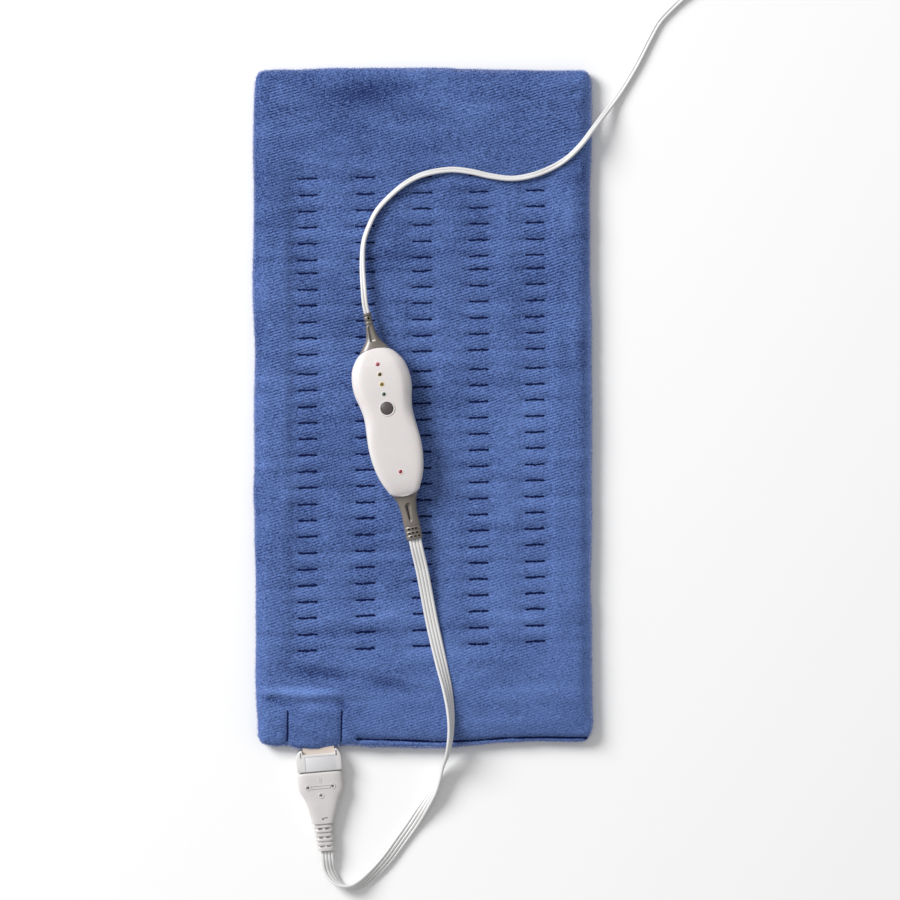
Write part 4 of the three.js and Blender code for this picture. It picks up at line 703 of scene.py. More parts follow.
dashPitch = (pad["topRow"] - pad["bottomRow"]) / (pad["dashRows"] - 1)
columns = gridLines(
    -pad["halfWidth"], pad["halfWidth"],
    [(m - pad["dashHalf"], m + pad["dashHalf"], pad["dashCuts"]) for m in pad["dashMiddles"]],
    pad["insets"], pad["spacing"],
)
rowPlaces = []
for n in range(pad["dashRows"]):
    fromTop = pad["dashRows"] - 1 - n
    rowPlaces.append(pad["bottomRow"] + n * dashPitch + (pad["slip"] if fromTop in pad["slippedRows"] else 0))
rowMarks = [(low, high, pad["rowCuts"]) for low, high in zip(rowPlaces, rowPlaces[1:])]
rowLines = gridLines(-pad["halfLength"], pad["halfLength"], rowMarks, pad["insets"], pad["spacing"])
dashLines = {round(y, 3) for y in rowPlaces}


def onDash(x, y):
    if round(y, 3) not in dashLines:
        return False
    return any(abs(x - m) < pad["dashHalf"] + 0.01 for m in pad["dashMiddles"])


def makeCover():
    bm = bmesh.new()
    held = []
    for side in ("top", "under"):
        for vert, column, row in gridVerts(bm, len(columns) - 1, len(rowLines) - 1):
            x, y = columns[column], rowLines[row]
            inset = min(pad["halfWidth"] - abs(x), pad["halfLength"] - abs(y))
            shapedX, shapedY = shapeOutline(x, y + rowSlope(y) * x)
            seam, high = pad["seam"], pad["thickness"]
            sewn = onDash(x, y)
            if side == "top":
                z = seam + (high - seam) * rolled(inset, pad["rollWidth"], pad["rollPower"])
                z -= pad["dashDepth"] if sewn else 0
            else:
                z = seam * (1 - rolled(inset, pad["underRoll"], pad["underPower"]))
            vert.co = (shapedX, shapedY, z)
            if side == "under" or sewn or inset < 1:
                held.append(vert)
    bmesh.ops.remove_doubles(bm, verts=bm.verts, dist=0.01)
    bmesh.ops.recalc_face_normals(bm, faces=bm.faces)
    bm.verts.ensure_lookup_table()
    return bm, [v.index for v in held if v.is_valid]


bm, heldMarks = makeCover()
cover = makePiece("plushCover", bm, rowPlace, plushMaterial, allSmooth)
puff = {
    "frames": 14, "cap": 1.6,
    "cloth": {
        "quality": 4, "mass": 0.2, "tension_stiffness": 8, "compression_stiffness": 8, "shear_stiffness": 3,
        "bending_stiffness": 0.05, "use_pressure": True, "uniform_pressure_force": 3.5,
        "vertex_group_mass": "held",
    },
}
group = cover.vertex_groups.new(name="held")
group.add(heldMarks, 1.0, "REPLACE")
cloth = cover.modifiers.new("puff", "CLOTH")
for key, value in puff["cloth"].items():
    setattr(cloth.settings, key, value)
cloth.settings.effector_weights.gravity = 0
cloth.point_cache.frame_end = puff["frames"]
rest = [v.co.copy() for v in cover.data.vertices]
for number in range(1, puff["frames"] + 1):
    bpy.context.scene.frame_set(number)
settled = cover.evaluated_get(bpy.context.evaluated_depsgraph_get()).data
moved = [v.co.copy() for v in settled.vertices]
cover.modifiers.clear()
bpy.context.scene.frame_set(1)
for vert, before, after in zip(cover.data.vertices, rest, moved):
    step = after - before
    if step.length > puff["cap"] * mm:
        step *= puff["cap"] * mm / step.length
    vert.co = before + step
lift = max((a - b).length for a, b in zip(moved, rest))
print(f"cover puffed, most {lift / mm:.2f} mm before the cap")
cover.vertex_groups.clear()
finer = cover.modifiers.new("finer", "SUBSURF")
finer.levels = finer.render_levels = 1
settle(cover, allSmooth)

# Sewn lines and folds that come after the puffing
hem = {
    "start": -59, "end": 149.5, "depth": 3.4, "width": 1.5,
    "line": [
        (-62, -298), (-59, -298), (-20, -299), (21, -300.6), (49, -299), (75, -297), (105, -296.4),
        (149.5, -296.8),
    ],
}
quilt = {"depth": 1.0, "above": 1.5, "below": 5.5, "fade": 6, "ripple": 0.6}
pocket = {
    "lines": (-121.8, -73.2), "lean": 0.02, "top": -273.6, "bottom": -301.5, "depth": 1.8, "width": 1.2,
    "swell": 0.8,
}
# The top is never quite level: height and size of each kind of unevenness
uneven = ((0.5, 46), (0.25, 17), (0.08, 5))
# By the pocket it is crumpled: from where to where that grows, down the pad and to the left
crumple = {"down": (225, 262), "left": (20, 75)}


# Each dash draws the cloth into a shallow valley that runs out sideways past its ends
def dashValley(x, y):
    alongRow = y - rowSlope(y) * x
    near = rowPlaces[max(0, min(len(rowPlaces) - 1, round((alongRow - pad["bottomRow"]) / dashPitch)))]
    past = min(abs(x - m) for m in pad["dashMiddles"]) - pad["dashHalf"]
    across = math.exp(-(max(0.0, past) / quilt["fade"]) ** 2)
    off = alongRow - near
    shape = math.exp(-(off / quilt["above" if off > 0 else "below"]) ** 2)
    valley = quilt["depth"] * across * shape
    # Between the columns the valleys run on as ripples, deeper here and gone there
    strength = max(0.0, 0.5 + 1.3 * noise.noise(Vector((x / 38, near / 9, 5))))
    return valley + quilt["ripple"] * strength * (1 - 0.7 * across) * shape


def foldHeight(x, y):
    height = 0.0
    for middleX, middleY, length, turn, half, high in folds:
        c, s = math.cos(math.radians(turn)), math.sin(math.radians(turn))
        u, v = (x - middleX) * c + (y - middleY) * s, -(x - middleX) * s + (y - middleY) * c
        if abs(u) < length and abs(v) < half * 3:
            bend = v - 2.5 * math.sin(u / length * 2.4 + middleX)
            height += high * math.exp(-(2 * u / length) ** 2) * math.exp(-(bend / half) ** 2)
    return height


def sewnDip(x, y, z):
    if z < pad["seam"]:
        return 0.0
    dip = dashValley(x, y)
    hemY = along(hem["line"], x)
    ends = smoothStep(x, hem["start"] - 4, hem["start"] + 3)
    dip += ends * hem["depth"] * math.exp(-((y - hemY) / hem["width"]) ** 2)
    for lineX in pocket["lines"]:
        near = math.exp(-((x - lineX - pocket["lean"] * (y - pocket["top"])) / pocket["width"]) ** 2)
        dip += pocket["depth"] * near * smoothStep(pocket["top"] + 3 - y, 0, 6)
    left, right = pocket["lines"]
    if left < x < right:
        across = math.sin(math.pi * (x - left) / (right - left))
        dip -= pocket["swell"] * across * smoothStep(pocket["top"] + 12 - y, 0, 14)
    return dip


# Where the controller lies, and where it slides when the connector is pulled, it presses the cloth level
def pressed(x, y):
    spot = controllerPlace.inverted() @ (Vector((x, y, 0)) * mm) / mm
    inWay = -controller["length"] - controller["pull"] < spot.y < 1
    return abs(spot.x) < controller["halfWidth"] - 1 and inWay


for vert in cover.data.vertices:
    x, y, z = vert.co / mm
    top = z > pad["seam"] + 0.2
    z -= sewnDip(x, y, z)
    if top:
        spot = Vector((x, y, 0))
        z += sum(high * noise.noise(spot / size) for high, size in uneven)
        inset = min(pad["halfWidth"] - abs(x), pad["halfLength"] - abs(y))
        z += foldHeight(x, y) * smoothStep(inset, 4, 18)
        share = smoothStep(-y, *crumple["down"]) * smoothStep(-x, *crumple["left"])
        ripples = 0.9 * noise.noise(Vector((x / 30, y / 9, 3)))
        ripples += 0.5 * noise.noise(Vector((x / 14, y / 14, 8)))
        z += share * ripples
        if pressed(x, y):
            z = min(z, controller["base"] - 0.1)
    vert.co.z = z * mm
cover.data.update()
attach(cover, "pad")
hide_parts("upper_panel", "lower_panel")
coverTree = surfaceTree(cover)


def coverHeight(x, y):
    hit = coverTree.ray_cast(Vector((x, y, 40)) * mm, Vector((0, 0, -1)))
    return hit[0].z / mm if hit[0] else 0.0


print(f"plush cover made, {len(cover.data.polygons)} faces")

# Sewing thread: navy polyester, a little shiny along its twist. Its navy is also deepened, painted shade of
# the hollows the stitches sit in
threadMaterial, tree, shader, place = startMaterial(
    "polyesterThread", Roughness=0.8, IOR=1.35, Specular_IOR_Level=0.2,
)
twist = addNode(
    tree, "TexWave", {"wave_type": "BANDS", "bands_direction": "DIAGONAL"},
    {"Vector": place, "Scale": math.pi / 10 / (0.5 * mm), "Distortion": 1},
).outputs[1]
dress(tree, shader, twist, ("#050f38", "#0c1a52"), twist, 0.4, 0.1)
thread = {
    "stitch": 4.3, "half": 0.85, "swell": 0.3, "hemHalf": 1.25, "high": 0.6, "perDash": 5, "hemPitch": 3.1,
    "lift": 0.25, "pocketThin": 0.62, "swellTop": 208, "swellRun": 422,
}

bm = bmesh.new()
bmesh.ops.create_uvsphere(bm, u_segments=8, v_segments=6, radius=1)
stitchForm = bpy.data.meshes.new("stitchForm")
bm.to_mesh(stitchForm)
bm.free()


def addStitch(bm, x, y, turn, length, half):
    place = (
        Matrix.Translation((x, y, coverHeight(x, y) + thread["lift"])) @ Matrix.Rotation(turn, 4, "Z")
        @ Matrix.Diagonal((length / 2, half, thread["high"], 1))
    )
    stitch = stitchForm.copy()
    stitch.transform(place)
    bm.from_mesh(stitch)
    bpy.data.meshes.remove(stitch)


bm = bmesh.new()
for y0 in rowPlaces:
    for middle in pad["dashMiddles"]:
        bow = dice.uniform(-0.5, 0.5)
        for n in range(thread["perDash"]):
            share = (n + 0.5) / thread["perDash"] * 2 - 1
            x = middle + share * (pad["dashHalf"] - 1) + dice.uniform(-0.4, 0.4)
            y = y0 + rowSlope(y0) * x + bow * (1 - share ** 2) + dice.uniform(-0.3, 0.3)
            sx, sy = shapeOutline(x, y)
            half = thread["half"] + thread["swell"] * (thread["swellTop"] - y0) / thread["swellRun"]
            half += dice.uniform(-0.1, 0.1)
            addStitch(bm, sx, sy, dice.uniform(-0.16, 0.2), thread["stitch"] + dice.uniform(-0.2, 0.7), half)
dashThread = makePiece("dashThread", bm, rowPlace, threadMaterial, allSmooth)
bm = bmesh.new()
x = hem["start"]
while x < hem["end"] - 1:
    y = along(hem["line"], x) + dice.uniform(-0.25, 0.25)
    addStitch(bm, x, y, dice.uniform(-0.1, 0.1), thread["hemPitch"] + 1.8, thread["hemHalf"])
    x += thread["hemPitch"]
for lineX in pocket["lines"]:
    y = pocket["top"]
    while y > pocket["bottom"] + 1:
        turn = math.pi / 2 + dice.uniform(-0.1, 0.1)
        x = lineX + pocket["lean"] * (y - pocket["top"])
        addStitch(bm, x, y, turn, thread["hemPitch"] + 1, thread["hemHalf"] * thread["pocketThin"])
        y -= thread["hemPitch"]
hemThread = makePiece("hemThread", bm, rowPlace, threadMaterial, allSmooth)
for piece in (dashThread, hemThread):
    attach(piece, "pad")
print("thread sewn")

# Controller: ABS shells, moulded and polished, so a cool white takes a soft highlight
shellMaterial, tree, shader, place = startMaterial(
    "satinAbsShell", Roughness=0.42, IOR=1.5, Coat_Weight=0.1, Coat_Roughness=0.2,
    Subsurface_Weight=0.08, Subsurface_Scale=1.5 * mm,
)
cloud = addNode(tree, "TexNoise", None, {"Vector": place, "Scale": 22, "Detail": 2})
fine = addNode(tree, "TexNoise", None, {"Vector": place, "Scale": 900, "Detail": 2})
dress(tree, shader, cloud, ("#dbd5d4", "#e2dddc"), fine, 0.08, 0.04)

# Outline of the shells, by columns: share of the length, half width and rise as shares of the largest
shellStations = [
    (0, 0.13, 0.5), (0.006, 0.34, 0.53), (0.024, 0.545, 0.6), (0.055, 0.71, 0.7), (0.109, 0.885, 0.84),
    (0.162, 0.965, 0.92), (0.227, 1, 0.975), (0.293, 0.978, 1), (0.36, 0.9, 1), (0.426, 0.846, 1),
    (0.478, 0.842, 1), (0.552, 0.87, 1), (0.641, 0.9, 1), (0.722, 0.887, 0.995), (0.789, 0.842, 0.98),
    (0.848, 0.775, 0.95), (0.907, 0.665, 0.89), (0.944, 0.572, 0.82), (0.972, 0.496, 0.73),
    (0.991, 0.338, 0.63), (1, 0.13, 0.6),
]
# The face is a flat plateau. Its flanks fall away behind a soft crease, more so in the upper lobe.
# Columns: share of the length, where the flank starts, how far it falls on the left and on the right
flankStations = [
    (0, 0.6, 0.04, 0.08), (0.06, 0.6, 0.07, 0.12), (0.15, 0.62, 0.09, 0.19), (0.27, 0.63, 0.09, 0.21),
    (0.36, 0.62, 0.07, 0.18), (0.46, 0.6, 0.04, 0.1), (0.6, 0.64, 0.01, 0.03), (0.8, 0.68, 0.01, 0.03),
    (1, 0.64, 0.04, 0.05),
]


def raiseFlank(point, across, rise, share):
    start, left, right = between(flankStations, share)
    t = min(1.0, abs(point.x) / across)
    fall = (left if point.x < 0 else right) * smoothStep(t, start, 1.02)
    power = controller["facePower"] + 3 * smoothStep(share, 0.45, 0.65)
    point.z = controller["split"] + rise * (1 - t ** power) ** (1 / power) * (1 - fall)


def shellRings(grow, part=(0, 1), count=64):
    split, rings = controller["split"], []
    shares = {s[0] for s in shellStations} | {n / 90 for n in range(91)} | {0.003, 0.015, 0.985, 0.996}
    for share in sorted(shares):
        across, rise = between(shellStations, share)
        depth = (0.8 + 0.2 * (rise - 0.5) / 0.5) * controller["depth"]
        across, rise = across * controller["halfWidth"] + grow, rise * controller["rise"] + grow
        half = controller["length"] / 2
        y = -half + (half - share * controller["length"]) / half * (half + grow)
        ring = superRing(count, y, across, rise, depth + grow, split, controller["power"], part)
        for point in ring:
            if point.z > split + 1e-6:
                raiseFlank(point, across, rise, share)
        rings.append(ring)
    return rings


def shellTop(fromNose):
    rise = between(shellStations, fromNose / controller["length"])[1]
    return controller["split"] + rise * controller["rise"]


lamps = {
    "places": (14.7, 23.8, 32.9, 42, 113), "radius": 1.6, "hole": 1.8, "crown": 0.6, "ring": 2.5,
    "ringProud": 0.22, "flange": 1.9, "legs": 1.27,
}
button = {"place": 55, "radius": 5.4, "hole": 5.85, "crown": 1.35, "rim": 7, "rimProud": 0.5}
screws = {"places": [(x, -y) for y in (24, 91.3) for x in (-12, 12)], "pocket": 2.6, "deep": 1.5}
# Where the boots' necks pass: half width, and both ends along the controller
necks = ((6.3, -7, 2), (7.8, -controller["length"] - 2, -controller["length"] + 7))
neckLow, neckHigh = 5.7, 12.3

bm = bmesh.new()
for fromNose in lamps["places"]:
    addDrum(bm, lamps["hole"], controller["split"], 30, 0, -fromNose)
addDrum(bm, button["hole"], controller["split"], 30, 0, -button["place"], 48)
topHoles = makePiece("topHoles", bm, controllerPlace, shellMaterial)
bm = bmesh.new()
for half, y0, y1 in necks:
    addBox(bm, (-half, y0, neckLow), (half, y1, neckHigh))
neckHoles = makePiece("neckHoles", bm, controllerPlace, shellMaterial)
bm = bmesh.new()
for x, y in screws["places"]:
    addDrum(bm, screws["pocket"], -1, screws["deep"], x, y)
pocketHoles = makePiece("pocketHoles", bm, controllerPlace, shellMaterial)


def makeShell(name, part, holes, replaced):
    bm = loft(bmesh.new(), shellRings(0, part, 41), closed=False, capped=False)
    for end in (min, max):
        y = end(v.co.y for v in bm.verts)
        rim = [e for e in bm.edges if all(abs(v.co.y - y) < 1e-4 for v in e.verts)]
        bmesh.ops.contextual_create(bm, geom=rim)
    upwards = 1 if part[0] == 0 else -1
    for vert in bm.verts:
        vert.co.z = max(vert.co.z, 0)
        if abs(vert.co.z - controller["split"]) < 0.01:
            vert.co.z += 0.15 * upwards
    bmesh.ops.recalc_face_normals(bm, faces=bm.faces)
    if bm.faces[0].normal.z * upwards < -0.2:
        bmesh.ops.reverse_faces(bm, faces=bm.faces)
    piece = makePiece(name, bm, controllerPlace, shellMaterial)
    addWall(piece, controller["wall"])
    for hole in holes:
        cutWith(piece, hole)
    settle(piece)
    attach(piece, "control_lead")
    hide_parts(replaced)
    return piece


upperShell = makeShell("upperShell", (0, 0.5), [topHoles, neckHoles], "upper_shell")
lowerShell = makeShell("lowerShell", (0.5, 1), [neckHoles, pocketHoles], "lower_shell")
for thing in (topHoles, neckHoles, pocketHoles):
    dropObject(thing)
print(f"shells made, {len(upperShell.data.polygons)} faces above")

# Push button in soft grey-brown plastic, with a pale moulded ring round it
buttonMaterial = vinylMaterial("mouldedButtonPlastic", "#5d5354", "#4c4546", 0.42, coat=0.25)
surface = shellTop(button["place"])
r, crown = button["radius"], button["crown"]
profile = [
    (0, -7), (1.7, -7), (1.7, -4), (r + 1.1, -4), (r + 1.1, -2.9), (r, -2.9), (r, 0.15), (r - 0.15, 0.42),
    (r - 0.5, 0.6), (r - 1.2, 0.72), (r * 0.5, crown - 0.04), (0, crown),
]
bm = turnProfile(bmesh.new(), profile, (0, -button["place"], surface), 64)
powerButton = makePiece("powerButton", bm, controllerPlace, buttonMaterial)
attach(powerButton, "button")
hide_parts("power_button")
inner, outer, proud = button["hole"], button["rim"], button["rimProud"]
profile = [
    (inner, -1), (inner, proud * 0.6), (6.45, proud), (6.9, proud), (outer, 0), (outer, -1), (inner, -1),
]
bm = turnProfile(bmesh.new(), profile, (0, -button["place"], surface), 64)
buttonRim = makePiece("buttonRim", bm, controllerPlace, shellMaterial)
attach(buttonRim, "control_lead")

# Signal lamps: tinted epoxy, clear enough that the light goes a little way in
lampTints = [
    ("red", "#b24856", "red_lens", 0.06, "#efd0d0"), ("olive", "#564838", "olive_lens", 0, "#e8dfc2"),
    ("amber", "#8a764a", "amber_lens", 0, "#efdfae"), ("green", "#2f443a", "green_lens", 0, "#e2e4e0"),
    ("red", "#a82838", "red_lens", 0.05, "#f0dada"),
]
domeAngles = [k * math.pi / 12 for k in range(6)]
for number, (fromNose, lampTint) in enumerate(zip(lamps["places"], lampTints), 1):
    tint, code, slotName, glow, ringCode = lampTint
    material, tree, shader, place = startMaterial(
        f"{tint}EpoxyLens{number}", Roughness=0.15, IOR=1.5, Transmission_Weight=0.25, Coat_Weight=0.4,
        Emission_Color=hexColour(code), Emission_Strength=glow,
    )
    cloud = addNode(tree, "TexNoise", None, {"Vector": place, "Scale": 500})
    deep = tuple(c * 0.8 for c in hexColour(code)[:3]) + (1.0,)
    dress(tree, shader, cloud, (deep, code))
    top, r, flange = shellTop(fromNose), lamps["radius"], lamps["flange"]
    dome = [(r * math.cos(a), -0.4 + (lamps["crown"] + 0.4) * math.sin(a)) for a in domeAngles]
    profile = [(0, -4.7), (flange, -4.7), (flange, -3.7), (r, -3.7), *dome, (0, lamps["crown"])]
    bm = turnProfile(bmesh.new(), profile, (0, -fromNose, top), 32)
    for leg in (-lamps["legs"], lamps["legs"]):
        addBox(bm, (leg - 0.3, -fromNose - 0.3, 7.1), (leg + 0.3, -fromNose + 0.3, top - 4.6))
    lens = makePiece(f"lamp{number}", bm, controllerPlace, material)
    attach(lens, "control_lead")
    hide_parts(f"lamp_{number}")
    ringMaterial = vinylMaterial(f"{tint}LampRing{number}", ringCode, ringCode, 0.35)
    inner, outer, proud = lamps["hole"] - 0.1, lamps["ring"], lamps["ringProud"]
    profile = [
        (inner, -0.6), (inner, proud * 0.7), (inner + 0.2, proud), (outer - 0.25, proud), (outer, 0.02),
        (outer, -0.6), (inner, -0.6),
    ]
    bm = turnProfile(bmesh.new(), profile, (0, -fromNose, top), 32)
    lampRing = makePiece(f"lampRing{number}", bm, controllerPlace, ringMaterial)
    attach(lampRing, "control_lead")
print("button and lamps set")

# Boots: soft grey vinyl with a gloss, ringed at the tip, a long slot on top
bootMaterial = vinylMaterial(
    "softMouldedBootVinyl", "#777068", "#6a625b", 0.4, coat=0.8, grain=0.1, coatRoughness=0.26, coatIor=1.55,
)
# Painted shade: a near-black vinyl that the window cuts hand to the walls of their holes, standing for the
# shade inside them
windowShadeMaterial = vinylMaterial("paintedBootWindowShade", "#2a2624", "#231f1d", 0.5)
boot = {"step": 0.25, "fade": 1.6, "window": 2.6}
# Outline of the boots from the tip: share of the length, half width and half height as shares of the largest
upperBootStations = [
    (0, 0.25, 0.53), (0.09, 0.25, 0.53), (0.24, 0.25, 0.56), (0.37, 0.268, 0.6), (0.47, 0.3, 0.64),
    (0.58, 0.365, 0.7), (0.67, 0.46, 0.77), (0.76, 0.62, 0.85), (0.86, 0.82, 0.93), (0.94, 0.94, 0.98),
    (1, 1, 1),
]
lowerBootStations = [
    (0, 0.56, 0.62), (0.09, 0.56, 0.62), (0.22, 0.57, 0.64), (0.34, 0.565, 0.66), (0.46, 0.54, 0.68),
    (0.58, 0.56, 0.72), (0.68, 0.6, 0.77), (0.78, 0.66, 0.84), (0.87, 0.79, 0.92), (0.94, 0.91, 0.97),
    (1, 1, 1),
]
bm = loft(bmesh.new(), shellRings(0.25))
shellSolid = makePiece("shellSolid", bm, controllerPlace, shellMaterial)


# Height of a boot's back, a way from its tip
def bootTop(spec, fromTip):
    share = between(spec["stations"], fromTip / (spec["length"] + spec["overlap"]))[1]
    return controller["split"] + spec["tall"] * share


# A teardrop scoop in the boot's back, narrow at the tip's end, deepest where it is widest
def scoopBody(spec):
    tipHalf, wideHalf, start, end, deep, lean = spec["scoop"]
    rings = []
    for n in range(25):
        t = n / 24
        rounding = math.sqrt(max(0, 1 - max(0, 1 - t / 0.1) ** 2))
        rounding *= math.sqrt(max(0, 1 - max(0, (t - 0.82) / 0.18) ** 2))
        half = max(0.12, (tipHalf + (wideHalf - tipHalf) * t ** 0.8) * rounding)
        fromTip = start + (end - start) * t
        level = bootTop(spec, fromTip)
        depth = deep * (0.45 + 0.55 * t) * rounding + 0.05
        ring = superRing(24, spec["length"] - fromTip, half, 6, depth, level, 1.3)
        # Deepest left of its middle, so one wall is steep and the other slopes
        for point in ring:
            point.x += lean * t + spec["skew"] * half * max(0, level - point.z) / depth
        rings.append(ring)
    return loft(bmesh.new(), rings)


def makeBoot(name, spec, replaced):
    whole = spec["length"] + spec["overlap"]
    rings, y = [], 0.0
    while y <= whole + 1e-6:
        across, tall = between(spec["stations"], y / whole)
        inset = 0
        # Rounded beads with a sharp valley between each two
        for start, end, deep in spec["beads"]:
            if start <= y <= end:
                inset = deep * abs(2 * (y - start) / (end - start) - 1) ** 3
        _, lastEnd, lastDeep = spec["beads"][-1]
        if y > lastEnd:
            inset = lastDeep * max(0, 1 - (y - lastEnd) / boot["fade"]) ** 2
        across, tall = across * spec["across"] - inset, tall * spec["tall"] - inset
        rings.append(superRing(48, spec["length"] - y, across, tall, tall, controller["split"], 2.1))
        y += boot["step"]
    bm = loft(bmesh.new(), rings)
    turn = Matrix.Identity(4)
    if spec["atTail"]:
        turn = Matrix.Translation((0, -controller["length"] * mm, 0)) @ Matrix.Rotation(math.pi, 4, "Z")
    piece = makePiece(name, bm, controllerPlace @ turn, bootMaterial)
    bodies = [shellSolid, makePiece("scoop", scoopBody(spec), controllerPlace @ turn, bootMaterial)]
    # The window bodies hand their painted shade to the walls of the holes they cut
    bm = bmesh.new()
    for fromTip, places, halfX, halfY in spec["windows"]:
        y, level = spec["length"] - fromTip, bootTop(spec, fromTip)
        for x in places:
            addBox(bm, (x - halfX, y - halfY, level - boot["window"]), (x + halfX, y + halfY, level + 4))
    bodies.append(makePiece("windowBodies", bm, controllerPlace @ turn, windowShadeMaterial))
    for body in bodies:
        cutWith(piece, body)
    settle(piece, 40)
    for body in bodies[1:]:
        dropObject(body)
    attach(piece, "control_lead")
    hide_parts(replaced)
    return piece


# Beads: start and end from the tip, depth of the valleys. Scoop: half widths, start, end, depth, lean to one
# side. Windows: way from the tip, places across, half sizes
upperBoot = makeBoot("upperBoot", {
    "length": controller["upperBoot"], "overlap": 5, "stations": upperBootStations,
    "across": 15.2, "tall": 6.5, "beads": [(-0.6, 2.2, 0.7), (2.2, 7, 1.1), (7, 10.6, 1)],
    "atTail": False, "scoop": (1.7, 3.6, 11, 27, 2.7, 0.6), "skew": -0.4,
    "windows": [(4.4, (0.5,), 0.95, 1.1)],
}, "upper_boot")
lowerBoot = makeBoot("lowerBoot", {
    "length": controller["lowerBoot"], "overlap": 5, "stations": lowerBootStations,
    "across": 13.4, "tall": 6.3, "beads": [(-0.4, 4.2, 0.55), (4.2, 7.6, 0.5), (7.6, 11.6, 0.55)],
    "atTail": True, "scoop": (1.5, 3.4, 15.5, 33.2, 2.8, -0.4), "skew": 0.4,
    "windows": [
        (2.6, (-4.4, -1.1, 2.6), 1.1, 0.75), (5.8, (-3.2, 0.4, 3.8), 1.1, 0.75),
        (9.5, (-3, 0, 3.4), 1.1, 0.75), (24.5, (0.7,), 0.55, 6),
    ],
}, "lower_boot")
dropObject(shellSolid)
print("boots made")

# Case screws under the controller
steelMaterial, tree, shader, place = startMaterial("zincPlatedScrew", Metallic=1.0, Roughness=0.35)
fine = addNode(tree, "TexNoise", None, {"Vector": place, "Scale": 900, "Detail": 3})
dress(tree, shader, fine, ("#a9a9a6", "#c9c8c2"))
head = {"radius": 1.9, "widest": 2.25, "low": 0.45, "high": 1.6, "crossLong": 1.1, "crossThin": 0.22}
bm, crosses = bmesh.new(), bmesh.new()
for x, y in screws["places"]:
    addDrum(bm, head["radius"], head["low"], head["high"], x, y, 24, head["widest"])
    for halfX, halfY in ((head["crossLong"], head["crossThin"]), (head["crossThin"], head["crossLong"])):
        addBox(crosses, (x - halfX, y - halfY, 0), (x + halfX, y + halfY, 1))
caseScrews = makePiece("caseScrews", bm, controllerPlace, steelMaterial)
carve(caseScrews, crosses, controllerPlace, crossing=True)
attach(caseScrews, "control_lead")

# Connector: nylon housings moulded in a grey white, with a ribbed bend relief
housingMaterial = vinylMaterial("mouldedNylonHousing", "#d8d5d4", "#cfcbca", 0.4)
frontMaterial = vinylMaterial("mouldedFrontHousing", "#e2e0df", "#dad7d6", 0.38)
panelMaterial = vinylMaterial("texturedThumbPanel", "#dadadc", "#d2d2d5", 0.5, grain=0.5)
markMaterial = vinylMaterial("printedArrow", "#3c3a3a", "#343232", 0.5)
front = {
    "mouth": 16.4, "ear": 3.8, "half": 20.1, "earTip": 16.4, "back": 0.5, "backHalf": 19.2, "high": 6.5,
    "inner": 14.5, "floor": 1.9, "mouthHalf": 3.8, "panelLeft": -13, "panelRight": 15.5, "panelFront": 14.2,
    "panelBack": 0.9, "panelDeep": 0.45, "leftGrow": 1, "earCuts": ((-16.4, 0.35), (15.7, 0.55)),
    "earCutBack": 13.6, "earCutFront": 18.4, "contactHole": 1.1, "contactPitch": 6,
}
axis = connector["axis"]
earFront = front["mouth"] + front["ear"]
side = [
    (front["inner"], front["mouth"]), (front["inner"], earFront), (front["earTip"], earFront), (17.9, 18.3),
    (19.4, 15.6), (front["half"], 12.8), (front["half"], 6), (19.9, 2.6), (front["backHalf"], front["back"]),
]
otherSide = [(-x - (front["leftGrow"] if x > front["earTip"] else 0), y) for x, y in side[::-1]]
bm = roundedPlate(side + otherSide, axis - front["high"], axis + front["high"], 1.0, 3)
frontHousing = makePiece("frontHousing", bm, connectorPlace, frontMaterial)
bm = bmesh.new()
addBox(
    bm, (-front["inner"], front["floor"], axis - front["mouthHalf"]),
    (front["inner"], 30, axis + front["mouthHalf"]),
)
for face in (1, -1):
    level = axis + face * front["high"]
    low, high = sorted((level - face * front["panelDeep"], level + face * 3))
    addBox(
        bm, (front["panelLeft"], front["panelBack"], low), (front["panelRight"], front["panelFront"], high),
    )
for x, half in front["earCuts"]:
    addBox(bm, (x - half, front["earCutBack"], 10.5), (x + half, front["earCutFront"], 16))
for k in range(4):
    made = addDrum(bm, front["contactHole"], -1, 4, 0, 0, 16)
    bmesh.ops.rotate(bm, cent=(0, 0, 0), matrix=Matrix.Rotation(-math.pi / 2, 3, "X"), verts=made)
    bmesh.ops.translate(bm, vec=((k - 1.5) * front["contactPitch"], 0, axis), verts=made)
carve(frontHousing, bm, connectorPlace, crossing=True)
thumbPanels = []
for face in (1, -1):
    inset, level = 0.02, axis + face * (front["high"] - 0.65)
    left, right = front["panelLeft"] + inset, front["panelRight"] - inset
    low, high = front["panelBack"] + inset, front["panelFront"] - inset
    outline = [(left, low), (right, low), (right, high), (left, high)]
    bm = roundedPlate(outline, level - 0.35, level + 0.35, 0.1, 2)
    name = f"thumbPanel{'Top' if face > 0 else 'Under'}"
    thumbPanels.append(makePiece(name, bm, connectorPlace, panelMaterial))

rear = {
    "start": -0.5, "length": 46.4, "half": 20.6, "high": 6.5, "power": 3.7, "neckHalf": 18, "neckHigh": 3.6,
    "pits": ((-12, -13.5), (10, -13.5), (-1, -21.2)), "pitRadius": 1.15, "pitDeep": 3,
}
